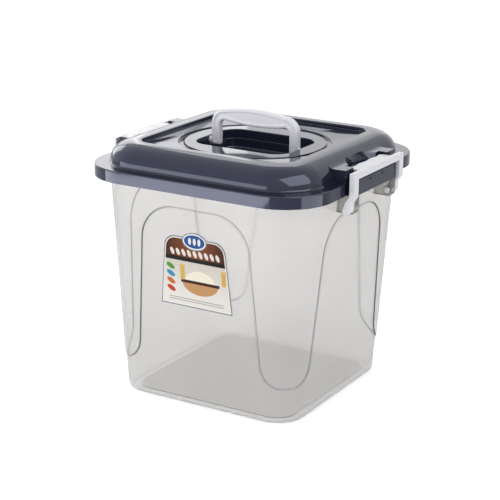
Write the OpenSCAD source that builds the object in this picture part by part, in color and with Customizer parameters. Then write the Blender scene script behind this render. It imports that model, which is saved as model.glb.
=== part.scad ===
// Square food bin: a tapered see-through tub, a domed lid that two side clips
// hold down, and a carrying handle that folds flat into a well in the lid.
// Millimetres, +Z up. The origin is on the table under the middle of the tub.
// X runs from clip to clip, and the front with the label faces -Y.

/* [Tub] */
// Height of the tub's rim above the table
tub_height = 274.7; // [220:0.1:330]
// Half width across the sides at the table, before the edge is rounded
tub_base_half = 119; // [108:0.5:125]
// Half width across the sides at the rim, under the flange
tub_top_half = 137.2; // [130:0.1:144]
// How much further the tub's front and back walls stand from the middle than its sides
tub_front_extra = 1; // [0:0.5:3]
// Corner radius of the tub at the rim
tub_corner = 56; // [46:0.5:60]
// Wall and floor thickness
tub_wall = 2.4; // [1.8:0.1:3.5]
// Radius of the rounding between floor and walls
tub_base_round = 7.5; // [4:0.5:12]
// Width of the flange that the lid sits on
rim_flange = 8.6; // [7:0.1:14]
// How much further the rim and the lid stand out at the front and back than at the sides
front_extra = 3; // [1:0.5:12]
// Depth of the lip that hangs from the flange
rim_lip = 9; // [5:0.5:11]
// Depth of the hollow under the floor, inside the foot ring
foot_hollow = 1.2; // [0.6:0.1:2]
// Width of the foot ring that the tub stands on
foot_ring = 9; // [5:0.5:14]

/* [Arched panels] */
// How deep the panels and the lower band lie behind the corner tongues
panel_step = 1.3; // [0.8:0.1:2]
// Height of the top of the front and back arches
front_arch_top = 240.5; // [200:0.5:242]
// Height of the top of the side arches, under the clip lugs
side_arch_top = 232.5; // [190:0.5:234]
// Half width of an arch where its rounded shoulders end
arch_half = 70; // [55:0.5:74]
// How much wider an arch gets on each side towards the base
arch_splay = 9.5; // [4:0.5:12]
// Radius of an arch's shoulders
arch_round = 44; // [25:1:50]
// Height at which the corner tongues end
tongue_foot = 42; // [25:0.5:80]
// Radius of the tongues' lower corners
tongue_round = 30; // [18:1:34]

/* [Lid] */
// Thickness of the lid's walls
lid_wall = 2.6; // [1.8:0.1:3.2]
// Thickness of the ledge that rests on the rim
lid_ledge = 2.5; // [2:0.1:4]
// Play between the flange's edge and the lid's skirt
skirt_play = 1.6; // [0.8:0.1:3]
// Gap between the rim and the ledge above it
seat_gap = 0.3; // [0.2:0.05:0.5]
// Height of the lid's skirt
skirt_height = 14.2; // [12:0.1:17]
// Corner radius of the skirt
skirt_corner = 60; // [52:0.5:64]
// Width of the flat ledge between the skirt and the dome
ledge_width = 12; // [8:0.5:16]
// Corner radius of the dome where it leaves the ledge
dome_corner = 57; // [50:0.5:60]
// Height of the dome's crest above the ledge
dome_rise = 24.5; // [20:0.5:32]
// How far the dome's side leans in from its foot to its crest
dome_lean = 31; // [24:0.5:36]
// Width of the foot flare where the dome meets the ledge
dome_flare = 2.5; // [1.5:0.1:4]
// Width of the rounded crest round the stacking recess
crest_width = 8; // [6:0.5:12]
// Depth of the stacking recess
recess_depth = 7.8; // [6:0.1:10]
// Corner radius of the stacking recess
recess_corner = 12; // [8:0.5:20]
// Half length of the ring groove across the lid
groove_half_x = 89; // [84:0.5:92]
// Half length of the ring groove from front to back
groove_half_y = 84; // [80:0.5:92]
// Width of the ring groove
groove_width = 6.5; // [4:0.1:9]
// Depth of the ring groove
groove_depth = 2.6; // [2:0.1:4]
// Outer corner radius of the ring groove
groove_corner = 80; // [60:1:83]
// Height of the rib under the lid that finds the tub's mouth
mouth_rib = 7; // [4:0.5:10]
// Play between that rib and the tub's inner wall
mouth_play = 1.2; // [0.8:0.1:2.5]

/* [Handle well] */
// Half length of the well across the lid
well_half_x = 62; // [61:0.5:66]
// Half length of the well from front to back
well_half_y = 46.2; // [46:0.1:56]
// Depth of the well below the platform
well_depth = 22.7; // [20:0.1:25]
// Corner radius of the well
well_corner = 22; // [14:0.5:24]
// Depth at which the well's wall steps in
well_step_down = 11.2; // [10:0.1:15]
// Width of that step
well_step = 0.8; // [0.4:0.1:1.1]

/* [Handle] */
// Half width of the handle over its legs
handle_half = 58.5; // [52:0.5:60]
// Thickness of the handle from front to back
handle_thick = 9; // [7:0.2:14]
// Height of the handle above its pins
handle_reach = 43; // [38:0.5:45]
// Width of each leg
handle_leg = 12; // [9:0.5:15]
// Radius of the handle's shoulders
handle_round = 18; // [12:0.5:22]
// How much higher the grip's middle is than its ends
handle_crown = 4; // [0:0.5:6]
// Depth of the grip next to the legs
grip_depth = 13.2; // [10:0.2:18]
// How much further the grip bulges down in the middle
grip_bulge = 3.5; // [0:0.5:6]
// Radius of the opening's upper corners
grip_round = 6; // [3:0.5:9]
// Length of the legs below the pins
handle_foot = 4.6; // [4.2:0.1:6]
// How far the handle's pins reach into the well's walls
handle_pin_hold = 3.5; // [2.5:0.1:5]
// Radius of the handle's pins
handle_pin = 3; // [2.4:0.1:3.2]
// Depth of the pins' centre below the platform
handle_pin_drop = 5.2; // [4:0.1:6]
// Radius of the shoulder round each pin
pin_shoulder = 4.1; // [3.6:0.1:4.4]

/* [Clips] */
// How far the clip pins stand outside the skirt's face
clip_pin_out = 1; // [0:0.2:3]
// How far the clip pins lie below the skirt
clip_pin_drop = 15.3; // [13:0.1:18]
// Radius of the clip pins
clip_pin = 3.7; // [3:0.1:4.2]
// How far the clip pins stand proud of the lugs' inner faces
clip_pin_proud = 0.5; // [0:0.1:2]
// Half width of a clip over its legs
clip_half = 62; // [56:0.5:66]
// Width of each leg
clip_leg = 10.2; // [8:0.2:12]
// Thickness of the legs and of the bar that joins them
clip_thick = 7; // [5:0.2:8]
// How far the legs' inner faces stand outside the skirt
clip_stand_off = 5; // [3.5:0.1:7]
// Height of the bar
clip_bar = 7; // [5:0.2:8]
// Height of the clip's top above the ledge
clip_top_rise = 12.5; // [11:0.1:14]
// Thickness of the plate that presses on the lid
clip_plate = 3; // [2.4:0.1:4]
// How far the plate reaches in from the bar
clip_plate_reach = 13; // [9:0.5:14]
// Half width of the plate
clip_plate_half = 40; // [32:0.5:42]
// Depth of the two thumb dips in the plate's inner edge
plate_dip = 1.6; // [0:0.2:3]
// Radius of the clip's outer top edge
clip_edge = 2.5; // [1:0.1:4]
// Length of the slanted ends of the plate's inner edge
plate_ends = 3; // [1:0.5:6]
// Radius of the round foot at each pin
clip_foot = 5.6; // [5:0.1:7]

/* [Clip seats and lugs] */
// How far a seat stands out past the skirt, between the legs
seat_out = 8.5; // [6:0.1:10]
// Half width of that part of the seat
seat_half = 50.4; // [44:0.2:51]
// Half width of the seat's shoulders
shoulder_half = 61.5; // [55:0.5:64]
// Height of the shoulders above the ledge
shoulder_rise = 14.9; // [13.5:0.1:17]
// Play round the clip's plate in its recess
plate_play = 2.5; // [1.5:0.1:4]
// Radius of the finger scoop behind the plate
scoop_radius = 45; // [36:1:60]
// Depth of the finger scoop below the plate's seat
scoop_depth = 5.6; // [3:0.1:6]
// How far the seat reaches below the skirt
seat_below = 1.3; // [0.5:0.1:2]
// Play between a seat and the clip's bar
bar_play = 0.5; // [0.3:0.1:1]
// How far the four catch bumps stand out of the seat's face
catch_bump = 1.5; // [1:0.1:2]
// Radius of the catch bumps, before they taper outwards
catch_round = 2.6; // [1.8:0.1:3]
// Distance between neighbouring bumps
catch_spacing = 30.7; // [20:0.1:31]
// Depth of the bumps below the seat's upper edge
catch_drop = 4; // [3:0.5:10]
// Play between a lug and the clip's leg beside it
leg_gap = 0.6; // [0.4:0.1:1]
// Thickness of each lug
lug_thick = 9.4; // [6:0.2:11]
// Material of a lug outside its pin's centre
lug_out = 7; // [6:0.1:8.5]
// Material of a lug below its pin's centre
lug_below = 7.1; // [6:0.1:10]
// Radius of a lug's lower outer corner
lug_round = 5; // [2:0.5:6]

/* [Label] */
// Half width of the label at its lower edge
label_base_half = 47.3; // [30:0.1:52]
// Half width of the label at its shoulders
label_top_half = 40.5; // [26:0.1:48]
// Height of the label's lower edge
label_base = 125; // [90:1:140]
// Height of the label's top
label_top = 209; // [180:1:215]
// Radius of the label's shoulders
label_round = 14; // [6:1:24]
// Thickness of the label
label_thick = 0.35; // [0.2:0.05:0.6]
// Depth of the adhesive behind the label, left free
label_glue = 0.05; // [0.02:0.01:0.1]

/* [Moving] */
// How far the lid lifts when the clips are open
lid_lift = 22; // [16:1:24]
// Angle that the clips swing out by, in degrees
clip_swing = 170; // [150:5:175]
// Radial play of every pin in its bore
pin_play = 0.05; // [0.02:0.01:0.09]

/* [Hidden] */
$fn = 64;
arc_step = 9;
curve_steps = 6;
dome_steps = 9;
dip_steps = 24;
eps = 0.01;
past = 1;

// Levels above the table, from the rim up
ledge_under = tub_height + seat_gap;
ledge_top = ledge_under + lid_ledge;
skirt_bottom = ledge_top - skirt_height;
crest_z = ledge_top + dome_rise;
floor_z = crest_z - recess_depth;
well_floor = floor_z - well_depth;
clip_top = ledge_top + clip_top_rise;
plate_under = clip_top - clip_plate;
plate_seat = plate_under - seat_gap;
bar_under = clip_top - clip_bar;
shoulder_top = ledge_top + shoulder_rise;
seat_bottom = skirt_bottom - seat_below;
scoop_floor = plate_seat - scoop_depth;

// Half widths across the sides, from the tub out
tub_axis = tub_top_half - tub_corner;
rim_half = tub_top_half + rim_flange;
lid_half = rim_half + skirt_play + lid_wall;
dome_foot = lid_half - ledge_width;
dome_axis = dome_foot - dome_corner;
crest_half = dome_foot - dome_lean;
recess_half = crest_half - crest_width;
seat_face = lid_half + seat_out;
bar_inner = lid_half + clip_stand_off;
bar_outer = bar_inner + clip_thick;
plate_inner = bar_inner - clip_plate_reach;
plate_recess = plate_inner - plate_play;

// Pins
pin_x = lid_half + clip_pin_out;
pin_z = skirt_bottom - clip_pin_drop;
leg_inner_y = clip_half - clip_leg;
lug_outer_y = leg_inner_y - leg_gap;
lug_inner_y = lug_outer_y - lug_thick;
pin_tip_y = lug_inner_y - clip_pin_proud;
handle_pin_z = floor_z - handle_pin_drop;
handle_pin_tip = well_half_x + handle_pin_hold;

// The taper of the tub's walls, and a wall's half width at a height
taper = (tub_top_half - tub_base_half) / tub_height;
function wall_half(z) = tub_base_half + taper * z;

// Points of a circular arc, both ends included
function arc(cx, cz, r, from, to) =
    let (n = max(2, ceil(abs(to - from) / arc_step)))
    [for (i = [0 : n]) let (a = from + (to - from) * i / n) [cx + r * cos(a), cz + r * sin(a)]];

// A rounded rectangle, drawn flat
module rounded_rect(half_x, half_y, r) {
    square([2 * (half_x - r), 2 * half_y], center = true);
    square([2 * half_x, 2 * (half_y - r)], center = true);
    for (sx = [-1, 1], sy = [-1, 1])
        translate([sx * (half_x - r), sy * (half_y - r)]) circle(r);
}

// A straight rounded block between two heights
module rounded_block(half_x, half_y, r, z0, z1) {
    translate([0, 0, z0]) linear_extrude(z1 - z0) rounded_rect(half_x, half_y, r);
}

// A side profile carried once round a rounded square. The profile's points are
// [distance outside the corner axis, height], and it starts and ends at distance 0.
module carried_round(profile, axis_x, axis_y, z0, z1) {
    for (side = [[1, 1, 0], [-1, 1, 90], [-1, -1, 180], [1, -1, 270]])
        translate([side[0] * axis_x, side[1] * axis_y, 0])
            rotate([0, 0, side[2]]) rotate_extrude(angle = 90) polygon(profile);
    for (turn = [0, 180]) {
        rotate([0, 0, turn]) translate([axis_x, axis_y, 0])
            rotate([90, 0, 0]) linear_extrude(2 * axis_y) polygon(profile);
        rotate([0, 0, turn + 90]) translate([axis_y, axis_x, 0])
            rotate([90, 0, 0]) linear_extrude(2 * axis_x) polygon(profile);
    }
    translate([-axis_x, -axis_y, z0]) cube([2 * axis_x, 2 * axis_y, z1 - z0]);
}

// Tub ---------------------------------------------------------------------------

// One skin of the tub: its outside moved in by inset, standing on z0 and open to z1
module tub_skin(inset, z0, z1) {
    round_r = tub_base_round;
    low_u = wall_half(z0 + round_r) - tub_axis - inset;
    profile = concat(
        [[0, z0]],
        arc(low_u - round_r, z0 + round_r, round_r, -90, 0),
        [[wall_half(z1) - tub_axis - inset, z1], [0, z1]]);
    carried_round(profile, tub_axis, tub_axis + tub_front_extra, z0, z1);
}

// The outline that parts the arched panel and the lower band from the tongues
function arch_side(top) = concat(
    arc(arch_half - arch_round, top - arch_round, arch_round, 90, 0),
    arc(arch_half + arch_splay + tongue_round, tongue_foot + tongue_round, tongue_round, 180, 270),
    [[2 * lid_half, tongue_foot], [2 * lid_half, -tub_base_round]]);

module arch_outline(top) {
    right = arch_side(top);
    last = len(right) - 1;
    polygon(concat(right, [for (i = [last : -1 : 0]) [-right[i][0], right[i][1]]]));
}

// Everything behind both pairs of arches, right through the tub
module arch_prisms() {
    rotate([90, 0, 0]) linear_extrude(4 * lid_half, center = true) arch_outline(front_arch_top);
    rotate([90, 0, 90]) linear_extrude(4 * lid_half, center = true) arch_outline(side_arch_top);
}

// A skin with its panels stepped in
module stepped_skin(inset, z0, z1) {
    tub_skin(inset + panel_step, z0, z1);
    difference() {
        tub_skin(inset, z0, z1);
        arch_prisms();
    }
}

// The flange under the lid's ledge, with its hanging lip
module rim() {
    rim_corner = skirt_corner - lid_wall - skirt_play;
    rounded_block(rim_half, rim_half + front_extra, rim_corner, tub_height - tub_wall, tub_height);
    difference() {
        rounded_block(rim_half, rim_half + front_extra, rim_corner, tub_height - rim_lip, tub_height);
        rounded_block(rim_half - tub_wall, rim_half + front_extra - tub_wall, rim_corner - tub_wall,
            tub_height - rim_lip - past, tub_height - tub_wall);
    }
}

// The two lugs that carry the right clip's pins
module lug_pair() {
    root_x = wall_half(pin_z - lug_below) - panel_step - tub_wall / 2;
    outer_x = pin_x + lug_out;
    top_z = seat_bottom - seat_gap;
    for (side = [-1, 1])
        translate([0, side * (lug_inner_y + lug_thick / 2) + lug_thick / 2, 0])
            rotate([90, 0, 0]) linear_extrude(lug_thick)
                polygon(concat(
                    [[root_x, tub_height - eps], [root_x, pin_z - lug_below]],
                    arc(outer_x - lug_round, pin_z - lug_below + lug_round, lug_round, -90, 0),
                    [[outer_x, top_z], [rim_half - tub_wall, top_z], [rim_half - tub_wall, tub_height - eps]]));
}

// A bore along Y for a pair of clip pins
module pin_bores() {
    translate([pin_x, lug_outer_y + past, pin_z]) rotate([90, 0, 0])
        cylinder(h = 2 * (lug_outer_y + past), r = clip_pin + pin_play);
}

module tub() {
    color([0.78, 0.78, 0.77, 0.55])
    difference() {
        union() {
            stepped_skin(0, 0, tub_height);
            rim();
            lug_pair();
            mirror([1, 0, 0]) lug_pair();
        }
        stepped_skin(tub_wall, tub_wall + foot_hollow, tub_height + past);
        pin_bores();
        mirror([1, 0, 0]) pin_bores();
        foot_half = tub_base_half - tub_base_round - foot_ring;
        rounded_block(foot_half, foot_half + tub_front_extra, foot_half - tub_axis,
            -past, foot_hollow);
    }
}

// Label -------------------------------------------------------------------------

// The label is drawn in the leaning plane of the front panel
module label() {
    lean = atan(taper);
    panel_y = wall_half(0) - panel_step + tub_front_extra;
    side = concat(
        arc(label_top_half - label_round, label_top - label_round, label_round, 90, 0),
        [[label_base_half, label_base]]);
    last = len(side) - 1;
    color("peru")
    translate([0, -panel_y, 0]) rotate([lean, 0, 0]) translate([0, -label_glue, 0])
        rotate([90, 0, 0]) linear_extrude(label_thick)
            polygon(concat(side, [for (i = [last : -1 : 0]) [-side[i][0], side[i][1]]]));
}

// Lid ---------------------------------------------------------------------------

// The dome's side: a small flare on the ledge, then a quarter of an ellipse
function dome_profile(inset, foot, top) = concat(
    [[0, foot], [dome_corner, foot]],
    arc(dome_corner, ledge_top + dome_flare, dome_flare + inset, 270, 180),
    [for (i = [1 : dome_steps]) let (t = 90 * i / dome_steps)
        [crest_half - dome_axis + (dome_lean - dome_flare) * cos(t) - inset,
         ledge_top + dome_flare + (top - ledge_top - dome_flare) * sin(t)]],
    [[0, top]]);

module dome(inset, foot, top) {
    carried_round(dome_profile(inset, foot, top), dome_axis, dome_axis + front_extra, foot, top);
}

// What stands on and out of the lid's side under one clip
module clip_seat() {
    inner_x = crest_half;
    difference() {
        translate([inner_x, -shoulder_half, ledge_under])
            cube([lid_half - inner_x, 2 * shoulder_half, shoulder_top - ledge_under]);
        translate([0, clip_plate_half + plate_play, 0]) rotate([90, 0, 0])
            linear_extrude(2 * (clip_plate_half + plate_play))
                polygon([
                    [plate_recess, crest_z], [plate_recess, plate_seat], [pin_x - clip_rise, plate_seat],
                    [lid_half + past, clip_sweep(lid_half + past, plate_under)], [lid_half + past, crest_z]]);
        finger_scoop();
    }
    translate([0, seat_half, 0]) rotate([90, 0, 0]) linear_extrude(2 * seat_half)
        polygon([
            [lid_half - lid_wall, seat_bottom], [seat_face, seat_bottom],
            [seat_face, clip_sweep(seat_face, bar_under)],
            [bar_inner - bar_play, clip_sweep(bar_inner, bar_under)],
            [bar_inner - bar_play, clip_sweep(bar_inner, plate_under)],
            [lid_half - lid_wall, clip_sweep(lid_half, plate_under)]]);
    for (i = [-1.5 : 1.5])
        translate([seat_face - lid_wall / 2, i * catch_spacing, bump_z]) rotate([0, 90, 0])
            cylinder(h = catch_bump + lid_wall / 2, r1 = catch_round, r2 = catch_round - catch_bump / 2);
}

// How far the lid rises while the clips swing by one radian
clip_rise = lid_lift / (clip_swing * PI / 180);

// Highest point that the seat may have at x, so that the underside of a clip
// that swings out while the lid rises passes over it
function clip_sweep(x, under) =
    let (h = under - pin_z, reach = max(0, x - pin_x + clip_rise))
    under - seat_gap - reach * reach / (2 * h);

bump_z = clip_sweep(seat_face, bar_under) - catch_drop;

// The hollow of one clip seat, seen from below
module seat_hollow() {
    roof = scoop_floor - lid_wall;
    translate([crest_half, -shoulder_half + lid_wall, ledge_under - past])
        cube([lid_half - lid_wall - crest_half, 2 * (shoulder_half - lid_wall), roof - ledge_under + past]);
    shoulder_in = clip_plate_half + plate_play + lid_wall;
    for (side = [-1, 1])
        translate([crest_half, side > 0 ? shoulder_in : -shoulder_half + lid_wall, ledge_under])
            cube([lid_half - lid_wall - crest_half, shoulder_half - lid_wall - shoulder_in,
                shoulder_top - lid_wall - ledge_under]);
    translate([lid_half, -seat_half + lid_wall, seat_bottom - past])
        cube([seat_out - lid_wall, 2 * (seat_half - lid_wall),
            clip_sweep(seat_face, bar_under) - lid_wall - seat_bottom + past]);
}

// The rounded hollow behind the plate for a fingertip, flat in its middle
module finger_scoop() {
    from = -90 + arc_step;
    to = -asin((scoop_floor + scoop_radius - crest_z) / scoop_radius);
    translate([plate_recess, 0, 0]) rotate_extrude()
        polygon(concat(
            [[0, crest_z], [0, scoop_floor + scoop_radius * (1 + sin(from))]],
            arc(0, scoop_floor + scoop_radius, scoop_radius, from, to)));
}

module lid() {
    skirt_inner = lid_half - lid_wall;
    skirt_inner_corner = skirt_corner - lid_wall;
    floor_under = floor_z - lid_wall;
    groove_under = floor_under - groove_depth;
    cup_wall = lid_wall + well_step;
    color([0.29, 0.30, 0.36])
    difference() {
        union() {
            difference() {
                union() {
                    rounded_block(lid_half, lid_half + front_extra, skirt_corner, skirt_bottom, ledge_top);
                    dome(0, ledge_top - lid_ledge, crest_z);
                    clip_seat();
                    mirror([1, 0, 0]) clip_seat();
                }
                rounded_block(skirt_inner, skirt_inner + front_extra, skirt_inner_corner,
                    seat_bottom - past, ledge_under);
                dome(lid_wall, ledge_under - past, crest_z - lid_wall);
                seat_hollow();
                mirror([1, 0, 0]) seat_hollow();
            }
            // recess floor with its wall, the groove's underside and the well's cup
            rounded_block(recess_half + lid_wall, recess_half + lid_wall + front_extra,
                recess_corner + lid_wall, floor_under, crest_z - lid_wall / 2);
            rounded_block(groove_half_x + lid_wall, groove_half_y + lid_wall,
                groove_corner + lid_wall, groove_under, floor_z);
            rounded_block(well_half_x + lid_wall, well_half_y + lid_wall,
                well_corner + lid_wall, well_floor - lid_wall, floor_z);
            pin_bosses();
            mouth_ring();
        }
        rounded_block(recess_half, recess_half + front_extra, recess_corner, floor_z, crest_z + past);
        difference() {
            rounded_block(groove_half_x, groove_half_y, groove_corner, floor_z - groove_depth, crest_z);
            rounded_block(groove_half_x - groove_width, groove_half_y - groove_width,
                groove_corner - groove_width, floor_z - groove_depth - past, crest_z + past);
        }
        difference() {
            rounded_block(groove_half_x - groove_width - lid_wall, groove_half_y - groove_width - lid_wall,
                groove_corner - groove_width - lid_wall, groove_under - past, floor_under);
            rounded_block(well_half_x + lid_wall, well_half_y + lid_wall,
                well_corner + lid_wall, groove_under - 2 * past, floor_z);
            pin_bosses();
        }
        rounded_block(well_half_x, well_half_y, well_corner, floor_z - well_step_down, crest_z);
        rounded_block(well_half_x - well_step, well_half_y - well_step, well_corner - well_step,
            well_floor, crest_z);
        handle_pin_bore();
    }
}

// Blind bosses on the outside of the well's cup, round the handle's pins
module pin_bosses() {
    for (side = [-1, 1])
        translate([side * (well_half_x + (handle_pin_hold + lid_wall) / 2), 0, handle_pin_z])
            rotate([0, 90, 0]) cylinder(h = handle_pin_hold + lid_wall, r = handle_pin + lid_wall, center = true);
}

// The bore that both handle pins turn in, from one side of the well to the other
module handle_pin_bore() {
    translate([0, 0, handle_pin_z]) rotate([0, 90, 0])
        cylinder(h = 2 * (handle_pin_tip + seat_gap), r = handle_pin + pin_play, center = true);
}

// The rib that hangs into the tub's mouth
module mouth_ring() {
    outer = wall_half(tub_height - mouth_rib) - tub_wall - panel_step - mouth_play;
    corner = outer - tub_axis;
    low = tub_height - mouth_rib;
    intersection() {
        difference() {
            rounded_block(outer, outer + tub_front_extra, corner, low, crest_z);
            rounded_block(outer - lid_wall, outer - lid_wall + tub_front_extra, corner - lid_wall,
                low - past, crest_z + past);
        }
        union() {
            dome(lid_wall / 2, ledge_under, crest_z - lid_wall / 2);
            rounded_block(outer, outer + tub_front_extra, corner, low, ledge_top);
        }
    }
}

// Handle ------------------------------------------------------------------------

module lid_handle() {
    top_z = handle_pin_z + handle_reach - handle_crown;
    inner = handle_half - handle_leg;
    crown_end = handle_half - handle_round;
    grip_under = top_z - grip_depth;
    foot_z = handle_pin_z - handle_foot;
    bulge_end = inner - grip_round;
    outline = concat(
        [[handle_half, foot_z]],
        arc(crown_end, top_z - handle_round, handle_round, 0, 90),
        [for (i = [1 : 2 * curve_steps - 1]) let (x = crown_end * (1 - i / curve_steps))
            [x, top_z + handle_crown * (1 - pow(x / crown_end, 2))]],
        arc(-crown_end, top_z - handle_round, handle_round, 90, 180),
        [[-handle_half, foot_z], [-inner, foot_z]],
        arc(-bulge_end, grip_under - grip_round, grip_round, 180, 90),
        [for (i = [1 : 2 * curve_steps - 1]) let (x = bulge_end * (i / curve_steps - 1))
            [x, grip_under - grip_bulge * (1 - pow(x / bulge_end, 2))]],
        arc(bulge_end, grip_under - grip_round, grip_round, 90, 0),
        [[inner, foot_z]]);
    shoulder = well_half_x - handle_half - seat_gap;
    color([0.89, 0.89, 0.94]) {
        translate([0, handle_thick / 2, 0]) rotate([90, 0, 0])
            linear_extrude(handle_thick) polygon(outline);
        for (side = [-1, 1]) {
            translate([side * (handle_half - past + (shoulder + past) / 2), 0, handle_pin_z])
                rotate([0, 90, 0]) cylinder(h = shoulder + past, r = pin_shoulder, center = true);
            translate([side * (handle_half + handle_pin_tip - past) / 2, 0, handle_pin_z])
                rotate([0, 90, 0])
                    cylinder(h = handle_pin_tip - handle_half + past, r = handle_pin, center = true);
        }
    }
}

// Clips -------------------------------------------------------------------------

// One clip, closed: its leg and foot, the bar over the legs, the plate and the pins
module clip() {
    knee_z = skirt_bottom;
    leg_profile = concat(
        [[bar_inner, clip_top]],
        arc(bar_outer - clip_edge, clip_top - clip_edge, clip_edge, 90, 0),
        [[bar_outer, knee_z + past]],
        arc(pin_x, pin_z, clip_foot, 20, -160),
        [[bar_inner, knee_z - past]]);
    bar_profile = concat(
        [[bar_inner, bar_under], [bar_inner, clip_top]],
        arc(bar_outer - clip_edge, clip_top - clip_edge, clip_edge, 90, 0),
        [[bar_outer, bar_under]]);
    for (side = [-1, 1]) {
        translate([0, side * (clip_half - clip_leg / 2) + clip_leg / 2, 0])
            rotate([90, 0, 0]) linear_extrude(clip_leg) polygon(leg_profile);
        translate([pin_x, side * (leg_inner_y + past + pin_tip_y) / 2, pin_z])
            rotate([90, 0, 0]) cylinder(h = leg_inner_y + past - pin_tip_y, r = clip_pin, center = true);
    }
    translate([0, clip_half - past, 0]) rotate([90, 0, 0])
        linear_extrude(2 * (clip_half - past)) polygon(bar_profile);
    translate([0, 0, plate_under]) linear_extrude(clip_plate) plate_outline();
}

// The plate's outline: slanted ends, and two shallow thumb dips in its inner edge
module plate_outline() {
    waves = 1.5;
    polygon(concat(
        [[bar_inner + past, -clip_plate_half], [plate_inner + plate_ends, -clip_plate_half]],
        [for (i = [0 : dip_steps]) let (s = 2 * i / dip_steps - 1)
            [plate_inner + plate_dip * (1 + cos(360 * waves * s)) / 2, (clip_plate_half - plate_ends) * s]],
        [[plate_inner + plate_ends, clip_plate_half], [bar_inner + past, clip_plate_half]]));
}

module clip_right() {
    color([0.94, 0.94, 0.96]) clip();
}

module clip_left() {
    color([0.94, 0.94, 0.96]) mirror([1, 0, 0]) clip();
}

tub();
label();
lid();
lid_handle();
clip_right();
clip_left();
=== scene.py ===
"""The looks of a lidded rice bin: clear tapered tub, slate lid, fold-down handle and two side clips."""

from __future__ import annotations

import logging
import math
from collections.abc import Callable, Iterable
from dataclasses import dataclass, field
from enum import Enum

import bmesh
import bpy
from bmesh.types import BMEdge, BMesh, BMFace, BMVert
from bpy.types import ID, Material, Mesh, Node, NodeSocket, NodeTree, Object, World
from mathutils import Matrix, Vector

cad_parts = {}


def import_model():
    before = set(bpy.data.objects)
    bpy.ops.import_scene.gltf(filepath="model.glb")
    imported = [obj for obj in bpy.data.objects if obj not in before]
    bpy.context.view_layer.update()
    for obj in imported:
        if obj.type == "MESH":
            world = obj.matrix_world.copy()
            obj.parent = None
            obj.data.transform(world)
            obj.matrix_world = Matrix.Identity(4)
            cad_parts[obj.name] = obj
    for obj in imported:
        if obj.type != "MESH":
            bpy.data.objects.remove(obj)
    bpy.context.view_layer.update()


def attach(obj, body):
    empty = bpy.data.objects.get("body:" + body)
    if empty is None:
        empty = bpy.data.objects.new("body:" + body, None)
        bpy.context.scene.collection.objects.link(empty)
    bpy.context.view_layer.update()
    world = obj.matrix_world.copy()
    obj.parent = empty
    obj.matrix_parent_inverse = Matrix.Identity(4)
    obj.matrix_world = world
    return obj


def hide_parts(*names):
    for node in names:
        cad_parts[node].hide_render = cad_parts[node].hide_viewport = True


LOG = logging.getLogger("rice_bin")
MM = 0.001
# the face attribute that marks the strip along the step round the tub's panels, where the clear finish paints shade
STEP_SHADE_MARK = "step_shade_mark"
# where the clips' pins are, as (x, z) on the right side
CLIP_AXIS = (151.0, 248.0)


class Body(Enum):
    """The bodies that move against each other."""

    TUB = "tub"
    LID = "lid"
    HANDLE = "handle"
    CLIP_RIGHT = "clip_right"
    CLIP_LEFT = "clip_left"


class Side(Enum):
    """The side of the bin that a clip and its seat are on."""

    RIGHT = 1
    LEFT = -1


class Row(Enum):
    """The bands of the tub's wall, from the middle of its foot up to its lip."""

    HOLLOW = 0
    RING = 1
    BASE = 2
    BAND = 3
    EDGE = 4
    CROWN = 5
    LINE = 6
    FLANGE = 7
    LIP = 8


# Tools -------------------------------------------------------------------------


def linear(code: str) -> tuple[float, float, float, float]:
    """Turns an sRGB hex colour into linear values.

    Args:
        code: Six hex digits, such as "E4E4F0".

    Returns:
        Linear red, green and blue, and an alpha of 1.
    """
    parts = [int(code[i : i + 2], 16) / 255 for i in (0, 2, 4)]
    red, green, blue = (c / 12.92 if c <= 0.04045 else ((c + 0.055) / 1.055) ** 2.4 for c in parts)
    return red, green, blue, 1.0


def add_node(
    tree: NodeTree,
    kind: str,
    settings: dict[str | int, object] | None = None,
    links: dict[str | int, NodeSocket] | None = None,
) -> Node:
    """Adds one node.

    Args:
        tree: The node tree.
        kind: The node's type name.
        settings: Socket values, by socket name or number, and node properties by name.
        links: Output sockets to join to this node's inputs.

    Returns:
        The new node.
    """
    node = tree.nodes.new(kind)
    for name, value in (settings or {}).items():
        if isinstance(name, str) and hasattr(node, name):
            setattr(node, name, value)
    for name, value in (settings or {}).items():
        if not (isinstance(name, str) and hasattr(node, name)):
            node.inputs[name].default_value = value
    for name, source in (links or {}).items():
        tree.links.new(source, node.inputs[name])
    return node


def empty_tree(owner: Material | World) -> NodeTree:
    """Switches on a material's or world's nodes and clears them away.

    Args:
        owner: The material or world.

    Returns:
        Its empty node tree.
    """
    owner.use_nodes = True
    owner.node_tree.nodes.clear()
    return owner.node_tree


def seen_straight(tree: NodeTree) -> tuple[Node, NodeSocket]:
    """Tells the rays that come from the camera, straight or through a clear wall.

    Args:
        tree: The node tree.

    Returns:
        The light path's node, and a socket that is 1 for those rays.
    """
    path = add_node(tree, "ShaderNodeLightPath")
    straight = add_node(
        tree, "ShaderNodeMath", {"operation": "MAXIMUM"},
        {0: path.outputs["Is Camera Ray"], 1: path.outputs["Is Transmission Ray"]},
    )
    return path, straight.outputs[0]


def put_in_scene(name: str, data: ID) -> Object:
    """Puts a mesh, a lamp or a camera in the scene.

    Args:
        name: The new object's name.
        data: What it shows.

    Returns:
        The new object.
    """
    new = bpy.data.objects.new(name, data)
    bpy.context.scene.collection.objects.link(new)
    return new


def settle(mesh: BMesh, name: str) -> Mesh:
    """Writes a shaped mesh to new mesh data and frees it.

    Args:
        mesh: The shaped mesh.
        name: The data's name.

    Returns:
        The mesh data.
    """
    data = bpy.data.meshes.new(name)
    mesh.to_mesh(data)
    mesh.free()
    return data


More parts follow.
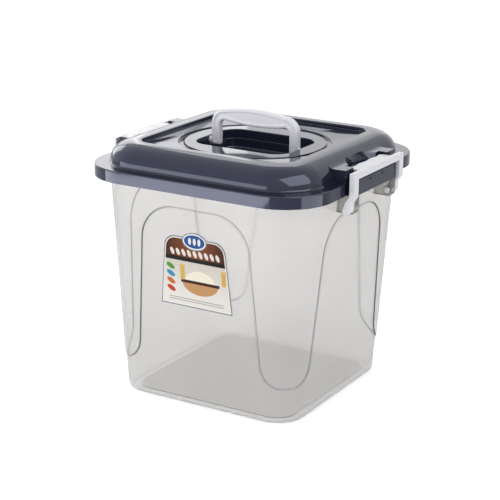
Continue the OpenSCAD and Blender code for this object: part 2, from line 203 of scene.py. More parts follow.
def finish_piece(
    mesh: BMesh, name: str, body: Body, material: Material, smooth_angle: float = 40.0,
) -> Object:
    """Turns a mesh shaped in millimetres into a dressed piece that rides on its body.

    Args:
        mesh: The mesh, which is freed.
        name: The piece's name.
        body: The body that it moves with.
        material: Its finish.
        smooth_angle: Edges sharper than this many degrees stay crisp.

    Returns:
        The new object.
    """
    bmesh.ops.scale(mesh, vec=(MM, MM, MM), verts=mesh.verts)
    limit = math.radians(smooth_angle)
    for face in mesh.faces:
        face.smooth = True
    for edge in mesh.edges:
        edge.smooth = not (edge.is_manifold and edge.calc_face_angle(0.0) > limit)
    data = settle(mesh, name)
    data.materials.append(material)
    piece = put_in_scene(name, data)
    flat = piece.modifiers.new("flat faces", "WEIGHTED_NORMAL")
    flat.keep_sharp = True
    flat.weight = 80
    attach(piece, body.value)
    LOG.info("%s: %d faces on %s", name, len(data.polygons), body.value)
    return piece


def soften(piece: Object, radius: float) -> None:
    """Rounds a piece's sharp edges by a bevel that comes before its other modifiers.

    Args:
        piece: The piece.
        radius: The rounding, in millimetres.
    """
    soft = piece.modifiers.new("moulded edges", "BEVEL")
    soft.width = radius * MM
    soft.segments = 3
    soft.limit_method = "ANGLE"
    soft.angle_limit = math.radians(32)
    soft.use_clamp_overlap = True
    soft.harden_normals = False
    with bpy.context.temp_override(object=piece):
        bpy.ops.object.modifier_move_to_index(modifier=soft.name, index=0)


def each_once(found: Iterable[BMVert | BMEdge | BMFace]) -> list[BMVert | BMEdge | BMFace]:
    """Lists what is found once each, in the order found."""
    return list(dict.fromkeys(found))


def outward(mesh: BMesh) -> None:
    """Points every face of a closed mesh outwards."""
    bmesh.ops.recalc_face_normals(mesh, faces=mesh.faces)


def handed(mesh: BMesh, side: Side) -> BMesh:
    """Turns a shape made for the right side over, if it is for the left.

    Args:
        mesh: The closed mesh.
        side: The side that it is for.

    Returns:
        The same mesh, with its faces outwards.
    """
    if side is Side.LEFT:
        bmesh.ops.scale(mesh, vec=(-1, 1, 1), verts=mesh.verts)
    outward(mesh)
    return mesh


def round_corners(mesh: BMesh, corners: list[BMVert], radius: float, segments: int) -> list[BMVert]:
    """Rounds corners of a flat face.

    Args:
        mesh: The mesh.
        corners: The corners to round.
        radius: Their radius.
        segments: Segments in each.

    Returns:
        The vertices of the roundings.
    """
    return bmesh.ops.bevel(
        mesh, geom=corners, offset=radius, offset_type="OFFSET", segments=segments, profile=0.5,
        affect="VERTICES", material=-1,
    )["verts"]


def round_edges(mesh: BMesh, edges: Iterable[BMEdge], radius: float, segments: int = 3, clamp: bool = True) -> None:
    """Rounds edges.

    Args:
        mesh: The mesh.
        edges: The edges to round.
        radius: Their radius.
        segments: Segments across each.
        clamp: Whether roundings stop where they would meet.
    """
    bmesh.ops.bevel(
        mesh, geom=list(edges), offset=radius, offset_type="OFFSET", segments=segments, profile=0.5,
        affect="EDGES", clamp_overlap=clamp, material=-1,
    )


def sharp_edges(mesh: BMesh, angle: float, keep: Callable[[BMEdge], bool] = lambda edge: True) -> list[BMEdge]:
    """Finds sharp edges.

    Args:
        mesh: The mesh.
        angle: The least angle between an edge's faces, in degrees.
        keep: Accepts or refuses an edge.

    Returns:
        The edges.
    """
    limit = math.radians(angle)
    mesh.normal_update()
    return [e for e in mesh.edges if e.is_manifold and e.calc_face_angle(0.0) > limit and keep(e)]


def cut_across(mesh: BMesh, place: tuple[float, float, float], normal: tuple[float, float, float]) -> None:
    """Draws an edge loop round the whole mesh where a plane meets it."""
    everything = mesh.verts[:] + mesh.edges[:] + mesh.faces[:]
    bmesh.ops.bisect_plane(mesh, geom=everything, plane_co=place, plane_no=normal)


def draw_out(mesh: BMesh, faces: list[BMFace], way: tuple[float, float, float]) -> list[BMVert]:
    """Extrudes faces.

    Args:
        mesh: The mesh.
        faces: The faces.
        way: How far they move.

    Returns:
        The vertices that moved.
    """
    grown = bmesh.ops.extrude_face_region(mesh, geom=faces)["geom"]
    tip = [g for g in grown if isinstance(g, BMVert)]
    bmesh.ops.translate(mesh, vec=way, verts=tip)
    return tip


def rounded_sheet(
    mesh: BMesh, half_x: float, half_y: float, corner: float, level: float, steps: int = 14,
) -> BMFace:
    """Adds a flat rounded rectangle that faces up.

    Args:
        mesh: The mesh to add it to.
        half_x: Half its width.
        half_y: Half its depth.
        corner: Radius of its corners.
        level: Its height.
        steps: Segments in each corner.

    Returns:
        Its one face.
    """
    new = bmesh.ops.create_grid(mesh, x_segments=1, y_segments=1, size=1.0)["verts"]
    bmesh.ops.scale(mesh, vec=(half_x, half_y, 1.0), verts=new)
    bmesh.ops.translate(mesh, vec=(0, 0, level), verts=new)
    face = next(f for v in round_corners(mesh, new, corner, steps) for f in v.link_faces)
    if face.normal.z < 0:
        bmesh.ops.reverse_faces(mesh, faces=[face])
    face.normal_update()
    return face


def block(mesh: BMesh, low: tuple[float, float, float], high: tuple[float, float, float]) -> None:
    """Adds a block between two corners."""
    new = bmesh.ops.create_cube(mesh, size=1.0)["verts"]
    size = Vector(high) - Vector(low)
    bmesh.ops.scale(mesh, vec=size, verts=new)
    bmesh.ops.translate(mesh, vec=Vector(low) + size / 2, verts=new)


def rod(
    mesh: BMesh,
    start: tuple[float, float, float],
    end: tuple[float, float, float],
    radius: float,
    end_radius: float | None = None,
    around: int = 32,
) -> None:
    """Adds a capped rod or cone.

    Args:
        mesh: The mesh to add it to.
        start: The middle of one end.
        end: The middle of the other end.
        radius: Its radius at the start.
        end_radius: Its radius at the end, if that differs.
        around: Segments around it.
    """
    low, high = Vector(start), Vector(end)
    turn = (high - low).to_track_quat("Z", "Y").to_matrix().to_4x4()
    bmesh.ops.create_cone(
        mesh, cap_ends=True, cap_tris=False, segments=around, radius1=radius,
        radius2=radius if end_radius is None else end_radius, depth=(high - low).length,
        matrix=Matrix.Translation((low + high) / 2) @ turn,
    )


def prism(mesh: BMesh, outline: list[tuple[float, float]], y_low: float, y_high: float) -> None:
    """Adds a prism along Y.

    Args:
        mesh: The mesh to add it to.
        outline: Its few corners, as (x, z).
        y_low: Where it starts.
        y_high: Where it ends.
    """
    face = mesh.faces.new([mesh.verts.new((x, y_low, z)) for x, z in outline])
    draw_out(mesh, [face], (0, y_high - y_low, 0))


def carve(target: BMesh, cutter: BMesh, union: bool = False) -> BMesh:
    """Cuts one closed mesh out of another, or joins the two.

    Args:
        target: The mesh that is cut, which is freed.
        cutter: The mesh that cuts, which is freed.
        union: Whether the two are joined instead.

    Returns:
        The result as a new mesh.
    """
    blanks = []
    for part in (target, cutter):
        outward(part)
        blanks.append(put_in_scene("blank", settle(part, "blank")))
    cut = blanks[0].modifiers.new("cut", "BOOLEAN")
    cut.operation = "UNION" if union else "DIFFERENCE"
    cut.solver = "EXACT"
    cut.object = blanks[1]
    result = bmesh.new()
    result.from_object(blanks[0], bpy.context.evaluated_depsgraph_get())
    for blank in blanks:
        data = blank.data
        bpy.data.objects.remove(blank)
        bpy.data.meshes.remove(data)
    bmesh.ops.remove_doubles(result, verts=result.verts, dist=0.001)
    bmesh.ops.dissolve_limit(result, angle_limit=math.radians(1), verts=result.verts, edges=result.edges)
    return result


@dataclass
class Stack:
    """A shell that grows from a rounded sheet, one ring after another."""

    mesh: BMesh
    cap: BMFace
    start: list[BMEdge] = field(default_factory=list)
    marked: list[tuple[list[BMEdge], float]] = field(default_factory=list)
    waiting: float = 0.0

    def fillet(self, radius: float) -> None:
        """Has the ring that the cap is on now rounded by radius when the stack is finished."""
        self.waiting = radius

    def step(self, shrink: float, rise: float, fillet: float = 0.0) -> None:
        """Carries the cap on.

        Args:
            shrink: How far it goes in.
            rise: How far it goes up.
            fillet: How much its new edge is rounded when the stack is finished.
        """
        ring = bmesh.ops.inset_individual(
            self.mesh, faces=[self.cap], thickness=shrink, depth=rise, use_even_offset=True,
        )["faces"]
        self.cap.normal_update()
        core = set(self.cap.verts)
        behind = each_once(e for f in ring for e in f.edges if core.isdisjoint(e.verts))
        self.start = self.start or behind
        if self.waiting:
            self.marked.append((behind, self.waiting))
        self.waiting = fillet

    def open_cap(self) -> list[BMEdge]:
        """Takes the cap away.

        Returns:
            The edges that were round it.
        """
        rim = list(self.cap.edges)
        if self.waiting:
            self.marked.append((rim, self.waiting))
        self.waiting = 0.0
        bmesh.ops.delete(self.mesh, geom=[self.cap], context="FACES_ONLY")
        return rim

    def round_off(self) -> None:
        """Rounds every ring that was marked, also the one that the cap is on."""
        if self.waiting:
            self.marked.append((list(self.cap.edges), self.waiting))
        for edges, radius in self.marked:
            round_edges(self.mesh, [e for e in edges if e.is_valid], radius, clamp=False)


# Finishes ----------------------------------------------------------------------


@dataclass(frozen=True)
class SmokedClear:
    """Clarified polypropylene, injection-moulded: glossy and see-through, a little smoky and softly clouded."""

    name: str = "clarified_polypropylene_moulded"
    tint: str = "F7F6F6"
    haze: float = 0.12
    cloud_tint: str = "F7F7F6"
    cloud_mm: float = 60.0
    roughness: float = 0.06
    ior: float = 1.49
    # painted shade: the darker tint given to the strip along each panel step
    line: str = "A2A2A0"
    smoke: str = "BDBDBC"
    smoke_per_metre: float = 72.0
    cast: str = "D2D2D1"

    def make(self) -> Material:
        """Makes the material.

        Returns:
            The material.
        """
        material = bpy.data.materials.new(self.name)
        tree = empty_tree(material)
        place = add_node(tree, "ShaderNodeTexCoord")
        # flow clouds of the melt, as large as a hand, make the gloss and the tint drift a little
        cloud = add_node(
            tree, "ShaderNodeTexNoise", {"Scale": 1 / (self.cloud_mm * MM), "Detail": 2.0, "Roughness": 0.5},
            {"Vector": place.outputs["Object"]},
        )
        rough = add_node(
            tree, "ShaderNodeMapRange",
            {"From Min": 0.3, "From Max": 0.7, "To Min": self.roughness * 0.8, "To Max": self.roughness * 1.4},
            {"Value": cloud.outputs["Fac"]},
        )
        colour = add_node(
            tree, "ShaderNodeMix",
            {"data_type": "RGBA", "blend_type": "MULTIPLY", 6: linear(self.tint), 7: linear(self.cloud_tint)},
            {0: cloud.outputs["Fac"]},
        )
        # painted shade: the strip along the sharp step round a panel is tinted darker, standing for the dark line that
        # refraction draws there
        step = add_node(tree, "ShaderNodeAttribute", {"attribute_name": STEP_SHADE_MARK})
        with_step_shade = add_node(
            tree, "ShaderNodeMix", {"data_type": "RGBA", 7: linear(self.line)},
            {0: step.outputs["Fac"], 6: colour.outputs[2]},
        )
        # the haze scatters some light inside the wall, which greys what is seen through it
        body = add_node(
            tree, "ShaderNodeBsdfPrincipled", {"Transmission Weight": 1.0 - self.haze, "IOR": self.ior},
            {"Base Color": with_step_shade.outputs[2], "Roughness": rough.outputs["Result"]},
        )
        # light falls through the walls without a hard caustic
        clear = add_node(tree, "ShaderNodeBsdfTransparent", {"Color": linear(self.cast)})
        path = add_node(tree, "ShaderNodeLightPath")
        mix = add_node(
            tree, "ShaderNodeMixShader", None,
            {0: path.outputs["Is Shadow Ray"], 1: body.outputs["BSDF"], 2: clear.outputs["BSDF"]},
        )
        # smoke in the plastic itself, so a wall seen along its length is darker
        smoke = add_node(
            tree, "ShaderNodeVolumeAbsorption", {"Color": linear(self.smoke), "Density": self.smoke_per_metre},
        )
        add_node(
            tree, "ShaderNodeOutputMaterial", None,
            {"Surface": mix.outputs["Shader"], "Volume": smoke.outputs["Volume"]},
        )
        return material


@dataclass(frozen=True)
class MouldedPlastic:
    """Opaque polypropylene, injection-moulded in a polished mould: an even gloss with a trace of flow."""

    name: str
    base: str
    shade: str
    roughness: float
    ior: float = 1.5
    gloss_tint: str = "FFFFFF"
    flow_mm: float = 40.0
    grain_mm: float = 1.2
    relief_mm: float = 0.004

    def make(self) -> Material:
        """Makes the material.

        Returns:
            The material.
        """
        material = bpy.data.materials.new(self.name)
        tree = empty_tree(material)
        place = add_node(tree, "ShaderNodeTexCoord")
        # pigment drifts with the flow of the melt, so broad faces are not one flat colour
        flow = add_node(
            tree, "ShaderNodeTexNoise", {"Scale": 1 / (self.flow_mm * MM), "Detail": 3.0, "Roughness": 0.55},
            {"Vector": place.outputs["Object"]},
        )
        colour = add_node(
            tree, "ShaderNodeMix", {"data_type": "RGBA", 6: linear(self.base), 7: linear(self.shade)},
            {0: flow.outputs["Fac"]},
        )
        rough = add_node(
            tree, "ShaderNodeMapRange",
            {"From Min": 0.3, "From Max": 0.7, "To Min": self.roughness * 0.85, "To Max": self.roughness * 1.25},
            {"Value": flow.outputs["Fac"]},
        )
        # the mould's skin, drawn coarser than it is, softens the edges of reflections
        grain = add_node(
            tree, "ShaderNodeTexNoise", {"Scale": 1 / (self.grain_mm * MM), "Detail": 2.0},
            {"Vector": place.outputs["Object"]},
        )
        bump = add_node(
            tree, "ShaderNodeBump", {"Strength": 0.15, "Distance": self.relief_mm * MM},
            {"Height": grain.outputs["Fac"]},
        )
        shader = add_node(
            tree, "ShaderNodeBsdfPrincipled", {"IOR": self.ior, "Specular Tint": linear(self.gloss_tint)},
            {
                "Base Color": colour.outputs[2],
                "Roughness": rough.outputs["Result"],
                "Normal": bump.outputs["Normal"],
            },
        )
        add_node(tree, "ShaderNodeOutputMaterial", None, {"Surface": shader.outputs["BSDF"]})
        return material


@dataclass(frozen=True)
class Mark:
    """One spot of ink on a print: an oval or a bar, in millimetres and degrees."""

    ink: str
    x: float
    z: float
    half_x: float
    half_z: float
    bar: bool = False
    turn: float = 0.0
    below: float | None = None

    def mask(self, tree: NodeTree, place: NodeSocket) -> NodeSocket:
        """Finds where the spot is.

        Args:
            tree: The print's node tree.
            place: The place on the print, in millimetres.

        Returns:
            A socket that is 1 inside the spot.
        """
        offset = add_node(
            tree, "ShaderNodeVectorMath", {"operation": "SUBTRACT", 1: (self.x, 0, self.z)}, {0: place},
        ).outputs[0]
        if self.turn:
            offset = add_node(
                tree, "ShaderNodeVectorRotate", {"rotation_type": "Y_AXIS", "Angle": math.radians(self.turn)},
                {"Vector": offset},
            ).outputs[0]
        share = add_node(
            tree, "ShaderNodeVectorMath", {"operation": "MULTIPLY", 1: (1 / self.half_x, 0, 1 / self.half_z)},
            {0: offset},
        ).outputs[0]
        if self.bar:
            size = add_node(tree, "ShaderNodeVectorMath", {"operation": "ABSOLUTE"}, {0: share})
            sides = add_node(tree, "ShaderNodeSeparateXYZ", None, {0: size.outputs[0]})
            reach = add_node(
                tree, "ShaderNodeMath", {"operation": "MAXIMUM"}, {0: sides.outputs["X"], 1: sides.outputs["Z"]},
            ).outputs[0]
        else:
            reach = add_node(tree, "ShaderNodeVectorMath", {"operation": "LENGTH"}, {0: share}).outputs["Value"]
        inside = add_node(tree, "ShaderNodeMath", {"operation": "LESS_THAN", 1: 1.0}, {0: reach}).outputs[0]
        if self.below is None:
            return inside
        level = add_node(tree, "ShaderNodeSeparateXYZ", None, {0: place}).outputs["Z"]
        under = add_node(tree, "ShaderNodeMath", {"operation": "LESS_THAN", 1: self.below}, {0: level})
        return add_node(tree, "ShaderNodeMath", {"operation": "MULTIPLY"}, {0: inside, 1: under.outputs[0]}).outputs[0]


@dataclass(frozen=True)
class PrintedFilm:
    """Printed polypropylene film: satin and flat in colour, with a brown head over a bowl on a pale field."""

    low: float = 124.8
    high: float = 208.6
    foot_half: float = 47.3
    lean: float = 0.097
    corner: float = 14.0
    head_level: float = 184.6
    head_fade: float = 40.0
    field_level: float = 140.0
    field_fade: float = 45.0
    silver: float = 1.1
    gap: float = 2.3
    badge_half: tuple[float, float] = (16.2, 10.4)
    badge_level: float = 205.2
    bowl: tuple[float, float] = (6.0, 156.0)

    def artwork(self) -> list[Mark]:
        """Lists what is printed on head and field, from the bottom layer up.

        Returns:
            The spots of ink.
        """
        marks = [Mark("0A0B0C", 0.0, 182.2, 60.0, 2.4, bar=True)]
        # a band of grains along the head, and four leaves down the left side
        marks += [Mark("D8D2CA", -30.0 + 7.5 * i, 190.0, 2.2, 4.4, turn=24) for i in range(9)]
        for z, ink in ((171.5, "558A38"), (162.5, "2F86A8"), (153.5, "B9662A"), (144.5, "B5392F")):
            marks.append(Mark(ink, -33.0, z, 6.0, 2.9, turn=-28))
        # a bowl with a dark rim and a heap of grain
        marks += [
            Mark("E4DCCB", *self.bowl, 20.0, 14.0),
            Mark("B98A5E", *self.bowl, 24.0, 15.0, below=self.bowl[1]),
            Mark("3A1D17", *self.bowl, 25.5, 1.8, bar=True),
        ]
        # an ear of grain on each side of it
        for x in (-18.5, 36.0):
            for i in range(4):
                for aside, turn in ((0.0, 28), (2.6, -28)):
                    marks.append(Mark("C9A24E", x + aside, 160.0 + 4.4 * i, 1.5, 3.2, turn=turn))
        marks += [Mark("8F8A84", 0.0, z, 36.0, 0.45, bar=True) for z in (134.5, 131.8)]
        return marks

    def badge(self) -> list[Mark]:
        """Lists what is printed on the badge: a blue oval with three pale grains side by side.

        Returns:
            The spots of ink.
        """
        wide, tall = self.badge_half
        level = self.badge_level - 0.4
        rings = (("77777A", -0.2), ("DEDDDB", 1.0), ("1C4C8C", 2.6))
        marks = [Mark(ink, 0.0, level, wide - inset, tall - inset) for ink, inset in rings]
        return marks + [Mark("DEDDDB", x, level, 1.9, 4.2) for x in (-6.2, 0.0, 6.2)]

    def make(self) -> Material:
        """Makes the material.

        Returns:
            The material.
        """
        material = bpy.data.materials.new("printed_polypropylene_film")
        tree = empty_tree(material)
        source = add_node(tree, "ShaderNodeTexCoord").outputs["Object"]
        place = add_node(
            tree, "ShaderNodeVectorMath", {"operation": "SCALE", "Scale": 1 / MM}, {0: source},
        ).outputs[0]
        split = add_node(tree, "ShaderNodeSeparateXYZ", None, {0: place})
        # each sum has a name, and reads numbers or the sums before it
        sums = {"across": split.outputs["X"], "up": split.outputs["Z"]}
        for name, operation, *terms in (
            ("off_middle", "ABSOLUTE", "across"),
            ("over_foot", "SUBTRACT", "up", self.low),
            ("half", "MULTIPLY_ADD", "over_foot", -self.lean, self.foot_half),
            ("to_side", "SUBTRACT", "off_middle", "half"),
            ("into_side", "ADD", "to_side", self.corner),
            ("past_side", "MAXIMUM", "into_side", 0.0),
            ("into_top", "SUBTRACT", "up", self.high - self.corner),
            ("past_top", "MAXIMUM", "into_top", 0.0),
            ("side_square", "POWER", "past_side", 2.0),
            ("top_square", "POWER", "past_top", 2.0),
            ("both_squares", "ADD", "side_square", "top_square"),
            ("past_corner", "SQRT", "both_squares"),
            ("in_corner", "SUBTRACT", self.corner, "past_corner"),
            ("inside", "MINIMUM", "in_corner", "over_foot"),
            ("gap", "LESS_THAN", "inside", self.gap),
            ("silver", "LESS_THAN", "inside", self.silver),
            ("head", "GREATER_THAN", "up", self.head_level),
            ("head_fade", "MULTIPLY", "off_middle", 1 / self.head_fade),
            ("over_field", "SUBTRACT", "up", self.field_level),
            ("field_fade", "MULTIPLY", "over_field", 1 / self.field_fade),
        ):
            numbers = {i: term for i, term in enumerate(terms) if not isinstance(term, str)}
            sockets = {i: sums[term] for i, term in enumerate(terms) if isinstance(term, str)}
            sums[name] = add_node(tree, "ShaderNodeMath", {"operation": operation, **numbers}, sockets).outputs[0]
        brown, ground = (
            add_node(
                tree, "ShaderNodeMix", {"data_type": "RGBA", 6: linear(near), 7: linear(far)}, {0: sums[fade]},
            ).outputs[2]
            for near, far, fade in (("82461F", "3B1511", "head_fade"), ("D9D6D0", "C2BBB2", "field_fade"))
        )
        layers = [(mark.ink, mark.mask(tree, place)) for mark in self.artwork()]
        layers += [("DEDDDB", sums["gap"]), ("77777A", sums["silver"])]
        layers += [(mark.ink, mark.mask(tree, place)) for mark in self.badge()]
        colour = add_node(
            tree, "ShaderNodeMix", {"data_type": "RGBA"}, {0: sums["head"], 6: ground, 7: brown},
        ).outputs[2]
        for ink, mask in layers:
            colour = add_node(
                tree, "ShaderNodeMix", {"data_type": "RGBA", 7: linear(ink)}, {0: mask, 6: colour},
            ).outputs[2]
        # a satin overprint keeps the film's gloss low, so the colours read flat
        shader = add_node(
            tree, "ShaderNodeBsdfPrincipled", {"Roughness": 0.4, "Specular IOR Level": 0.2}, {"Base Color": colour},
        )
        add_node(tree, "ShaderNodeOutputMaterial", None, {"Surface": shader.outputs["BSDF"]})
        return material


# Tub ---------------------------------------------------------------------------


@dataclass
class Tub:
    """The clear tub: tapered walls with arched panels stepped in, a flange round the rim, and the pin lugs."""

    finish: SmokedClear
    lug_finish: SmokedClear
    film: PrintedFilm
    height: float = 274.7
    base_half: float = 119.0
    top_half: float = 137.2
    front_extra: float = 1.0
    axis: float = 81.2
    wall: float = 2.4
    base_round: float = 7.5
    foot_ring: float = 9.0
    foot_hollow: float = 1.2
    panel_step: float = 1.3
    step_run: float = 0.5
    line_width: float = 0.5
    front_arch: float = 240.5
    side_arch: float = 232.5
    arch_half: float = 70.0
    arch_splay: float = 9.5
    arch_round: float = 44.0
    tongue_foot: float = 42.0
    tongue_round: float = 30.0
    rim_half: float = 145.8
    rim_extra: float = 3.0
    rim_lip: float = 9.0
    panel_columns: int = 22
    tongue_columns: int = 30
    turn_radius: float = 50.0
    lug_root: float = 134.2
    lug_out: float = 158.0
    lug_low: float = 240.9
    lug_top: float = 261.7
    lug_inner: float = 41.8
    lug_outer: float = 51.2
    lug_round: float = 5.0
    lug_bore: float = 3.75
    badge_thick: float = 0.42
    badge_glue: float = 0.05

    @property
    def taper(self) -> float:
        """How far the wall leans out for each millimetre of height."""
        return (self.top_half - self.base_half) / self.height

    @property
    def turn_end(self) -> float:
        """How far along the quarter's path the turn round the corner ends."""
        return self.axis + self.turn_radius * math.pi / 2

    @property
    def path_length(self) -> float:
        """The length of the quarter's path, from the front's middle to the side's middle."""
        return 2 * self.axis + self.front_extra + self.turn_radius * math.pi / 2

    def half(self, level: float) -> float:
        """Gives half the tub's width at a level."""
        return self.base_half + self.taper * level

    def edge_x(self, along: float, top: float) -> tuple[float, float, float, float]:
        """Follows an arch's edge up from the foot of the tongue.

        Args:
            along: 0 to 1 round the foot, 1 to 2 up the side, 2 to 3 round the shoulder.
            top: The arch's top.

        Returns:
            Half width of the arch there, its level, and the way out of the arch across and up.
        """
        splayed = self.arch_half + self.arch_splay
        shoulder = top - self.arch_round
        foot = self.tongue_foot + self.tongue_round
        if along <= 1:
            out_x, out_z = math.sin(math.radians(90 * along)), math.cos(math.radians(90 * along))
            return splayed + self.tongue_round * (1 - out_x), foot - self.tongue_round * out_z, out_x, out_z
        if along <= 2:
            part = along - 1
            return splayed - self.arch_splay * part, foot + (shoulder - foot) * part, 1.0, 0.0
        angle = math.radians(90 * (along - 2))
        flat = self.arch_half - self.arch_round
        out_x, out_z = math.cos(angle), math.sin(angle)
        return flat + self.arch_round * out_x, shoulder + self.arch_round * out_z, out_x, out_z

    def path_place(self, x: float, level: float, axis: float) -> float:
        """Finds a half width on the path from a panel's middle round the corner.

        Args:
            x: The half width.
            level: Its level.
            axis: The half width at which the corner starts.

        Returns:
            Its distance along the path.
        """
        if x <= axis:
            return x
        reach = self.half(level) - self.axis
        return axis + self.turn_radius * math.asin(min(1.0, (x - axis) / reach))

    def point(self, place: float, level: float, out: float) -> Vector:
        """Gives a point of the front right quarter.

        Args:
            place: Distance along the path from the front's middle to the side's middle.
            level: Height.
            out: Distance outside the corner's axis.

        Returns:
            The point.
        """
        axis_y = self.axis + self.front_extra
        if place <= self.axis:
            return Vector((place, -axis_y - out, level))
        if place <= self.turn_end:
            angle = (place - self.axis) / self.turn_radius
            return Vector((self.axis + out * math.sin(angle), -axis_y - out * math.cos(angle), level))
        return Vector((self.axis + out, -(axis_y - (place - self.turn_end)), level))

    def plain_point(self, kind: Row, part: float, place: float, share: float) -> Vector:
        """Gives a point of a row that has no step between panel and tongue.

        Args:
            kind: The band that the row belongs to.
            part: How far up that band it is.
            place: Distance along the path.
            share: Place between the front arch and the side arch, 0 to 1.

        Returns:
            The point.
        """
        foot = self.half(self.base_round) - self.axis - self.panel_step
        if kind is Row.HOLLOW:
            return self.point(place, self.foot_hollow * (1 - part), foot - self.base_round - self.foot_ring)
        if kind is Row.RING:
            return self.point(place, 0.0, foot - self.base_round)
        if kind is Row.BASE:
            angle = math.radians(90 * part)
            level = self.base_round * (1 - math.cos(angle))
            return self.point(place, level, foot - self.base_round * (1 - math.sin(angle)))
        if kind is Row.BAND:
            level = self.base_round + (self.tongue_foot - self.base_round) * part
            return self.point(place, level, self.half(level) - self.axis - self.panel_step)
        under = self.height - self.wall
        if kind in (Row.CROWN, Row.LINE):
            start = self.front_arch + (self.side_arch - self.front_arch) * share + self.step_run
            level = start + (under - start) * part + (self.line_width if kind is Row.LINE else 0.0)
            return self.point(place, level, self.half(level) - self.axis)
        reach = self.half(self.height) - self.axis
        lip_out = self.rim_half - self.wall - self.axis
        half_way = kind is Row.FLANGE and part == 0.0
        out = reach + (lip_out - reach) * (0.5 if half_way else 1.0)
        point = self.point(place, self.height - self.rim_lip if kind is Row.LIP else under, out)
        # the rim is deeper than it is wide: all of that at the front, none at the side's middle
        forward = 1.0
        if place > self.turn_end:
            forward = max(0.0, 1.0 - (place - self.turn_end) / (self.axis + self.front_extra))
        point.y -= (self.rim_extra - self.front_extra) * min(1.0, (out - reach) / (lip_out - reach)) * forward
        return point

    def stations(self) -> list[tuple[Row, float]]:
        """Lists the rows of the quarter, from the middle of the foot up to the lip.

        Returns:
            Each row's band, and how far up that band it is.
        """
        rows = [(Row.HOLLOW, 0.0), (Row.HOLLOW, 1.0), (Row.RING, 0.0)]
        rows += [(Row.BASE, i / 6) for i in range(1, 7)]
        rows += [(Row.BAND, part) for part in (0.35, 0.7, 0.93, 1.0)]
        # round the foot of the tongue, up its side, and round the arch's shoulder
        for start, count in ((0, 12), (1, 7), (2, 16)):
            rows += [(Row.EDGE, start + i / count) for i in range(0 if start == 0 else 1, count + 1)]
        rows += [(Row.CROWN, 0.0), (Row.LINE, 0.0)]
        rows += [(Row.CROWN, part) for part in (0.12, 0.5, 1.0)]
        return rows + [(Row.FLANGE, 0.0), (Row.FLANGE, 1.0), (Row.LIP, 1.0)]

    def row_points(self, kind: Row, part: float) -> list[Vector]:
        """Lays out one row of points from the front's middle to the side's middle.

        Args:
            kind: The band that the row belongs to.
            part: How far up that band it is.

        Returns:
            The row's points.
        """
        along = part if kind is Row.EDGE else 3.0 if kind.value > Row.EDGE.value else 0.0
        front_x, front_z, front_out, front_up = self.edge_x(along, self.front_arch)
        side_x, side_z, side_out, side_up = self.edge_x(along, self.side_arch)
        total, panels, tongues = self.path_length, self.panel_columns, self.tongue_columns
        front_at = self.path_place(front_x, front_z, self.axis)
        side_at = total - self.path_place(side_x, side_z, self.axis + self.front_extra)
        # two wide arches still leave a strip between them
        front_at = min(front_at, (front_at + side_at) / 2 - 0.3)
        side_at = max(side_at, (front_at + side_at) / 2 + 0.3)
        # front panel, step, line, tongue, line, step, side panel
        run, reach = self.step_run, self.step_run + self.line_width
        spots = [(front_at * i / panels, front_z) for i in range(panels + 1)]
        spots.append((front_at + run * front_out, front_z + run * front_up))
        inner_low, inner_high = front_at + reach * front_out, side_at - reach * side_out
        low, high = front_z + reach * front_up, side_z + reach * side_up
        for i in range(tongues + 1):
            part_way = i / tongues
            spots.append((inner_low + (inner_high - inner_low) * part_way, low + (high - low) * part_way))
        spots.append((side_at - run * side_out, side_z + run * side_up))
        spots += [(side_at + (total - side_at) * i / panels, side_z) for i in range(panels + 1)]
        points = []
        for index, (place, level) in enumerate(spots):
            from_end = min(index, len(spots) - 1 - index)
            if kind is Row.EDGE:
                stepped = self.panel_step if from_end <= panels or part == 0 else 0.0
                points.append(self.point(place, level, self.half(level) - self.axis - stepped))
                continue
            share = min(1.0, max(0.0, (place - front_at) / (side_at - front_at)))
            with_step_shade = kind is Row.CROWN and part == 0 and from_end > panels + 1
            points.append(self.plain_point(Row.LINE if with_step_shade else kind, part, place, share))
        return points

    def on_line(self, column: int, row: int) -> bool:
        """Tells whether a cell of the quarter's grid lies on the step round a panel.

        Args:
            column: Its column, from the front's middle.
            row: Its row, from the middle of the foot.

        Returns:
            Whether it does.
        """
        below, here, above = (self.stations()[row + i][0] for i in (-1, 0, 1))
        from_end = min(column, 2 * self.panel_columns + self.tongue_columns + 3 - column)
        in_panel = from_end < self.panel_columns
        if here is above is Row.EDGE:
            upright = self.panel_columns <= from_end < self.panel_columns + 2
            return upright or (below is not Row.EDGE and not in_panel)
        return in_panel and (above is Row.LINE or (here is Row.EDGE and above is Row.CROWN))

    def shell(self) -> BMesh:
        """Builds the walls, base and flange as one closed wall of even thickness.

        Returns:
            The mesh, with the strip along the step round the panels marked by an attribute, where painted shade goes.
        """
        rows = [self.row_points(kind, part) for kind, part in self.stations()]
        mesh = bmesh.new()
        across, up = len(rows[0]) - 1, len(rows) - 1
        grid = bmesh.ops.create_grid(mesh, x_segments=across, y_segments=up, size=0.5)["verts"]
        # the faces of the strip along each step take painted shade in the clear finish
        line = mesh.faces.layers.float.new(STEP_SHADE_MARK)
        for face in mesh.faces:
            middle = face.calc_center_median()
            if self.on_line(int((middle.x + 0.5) * across), int((middle.y + 0.5) * up)):
                face[line] = 1.0
        for vert in grid:
            column, row = round((vert.co.x + 0.5) * across), round((vert.co.y + 0.5) * up)
            vert.co = rows[row][column]
        for axis in ("X", "Y"):
            everything = mesh.verts[:] + mesh.edges[:] + mesh.faces[:]
            bmesh.ops.mirror(mesh, geom=everything, matrix=Matrix.Identity(4), merge_dist=0.01, axis=axis)
        bmesh.ops.remove_doubles(mesh, verts=mesh.verts, dist=0.01)
        hollow = [e for e in mesh.edges if e.is_boundary and e.verts[0].co.z < 5]
        bmesh.ops.contextual_create(mesh, geom=hollow)
        outward(mesh)
        mesh.faces.ensure_lookup_table()
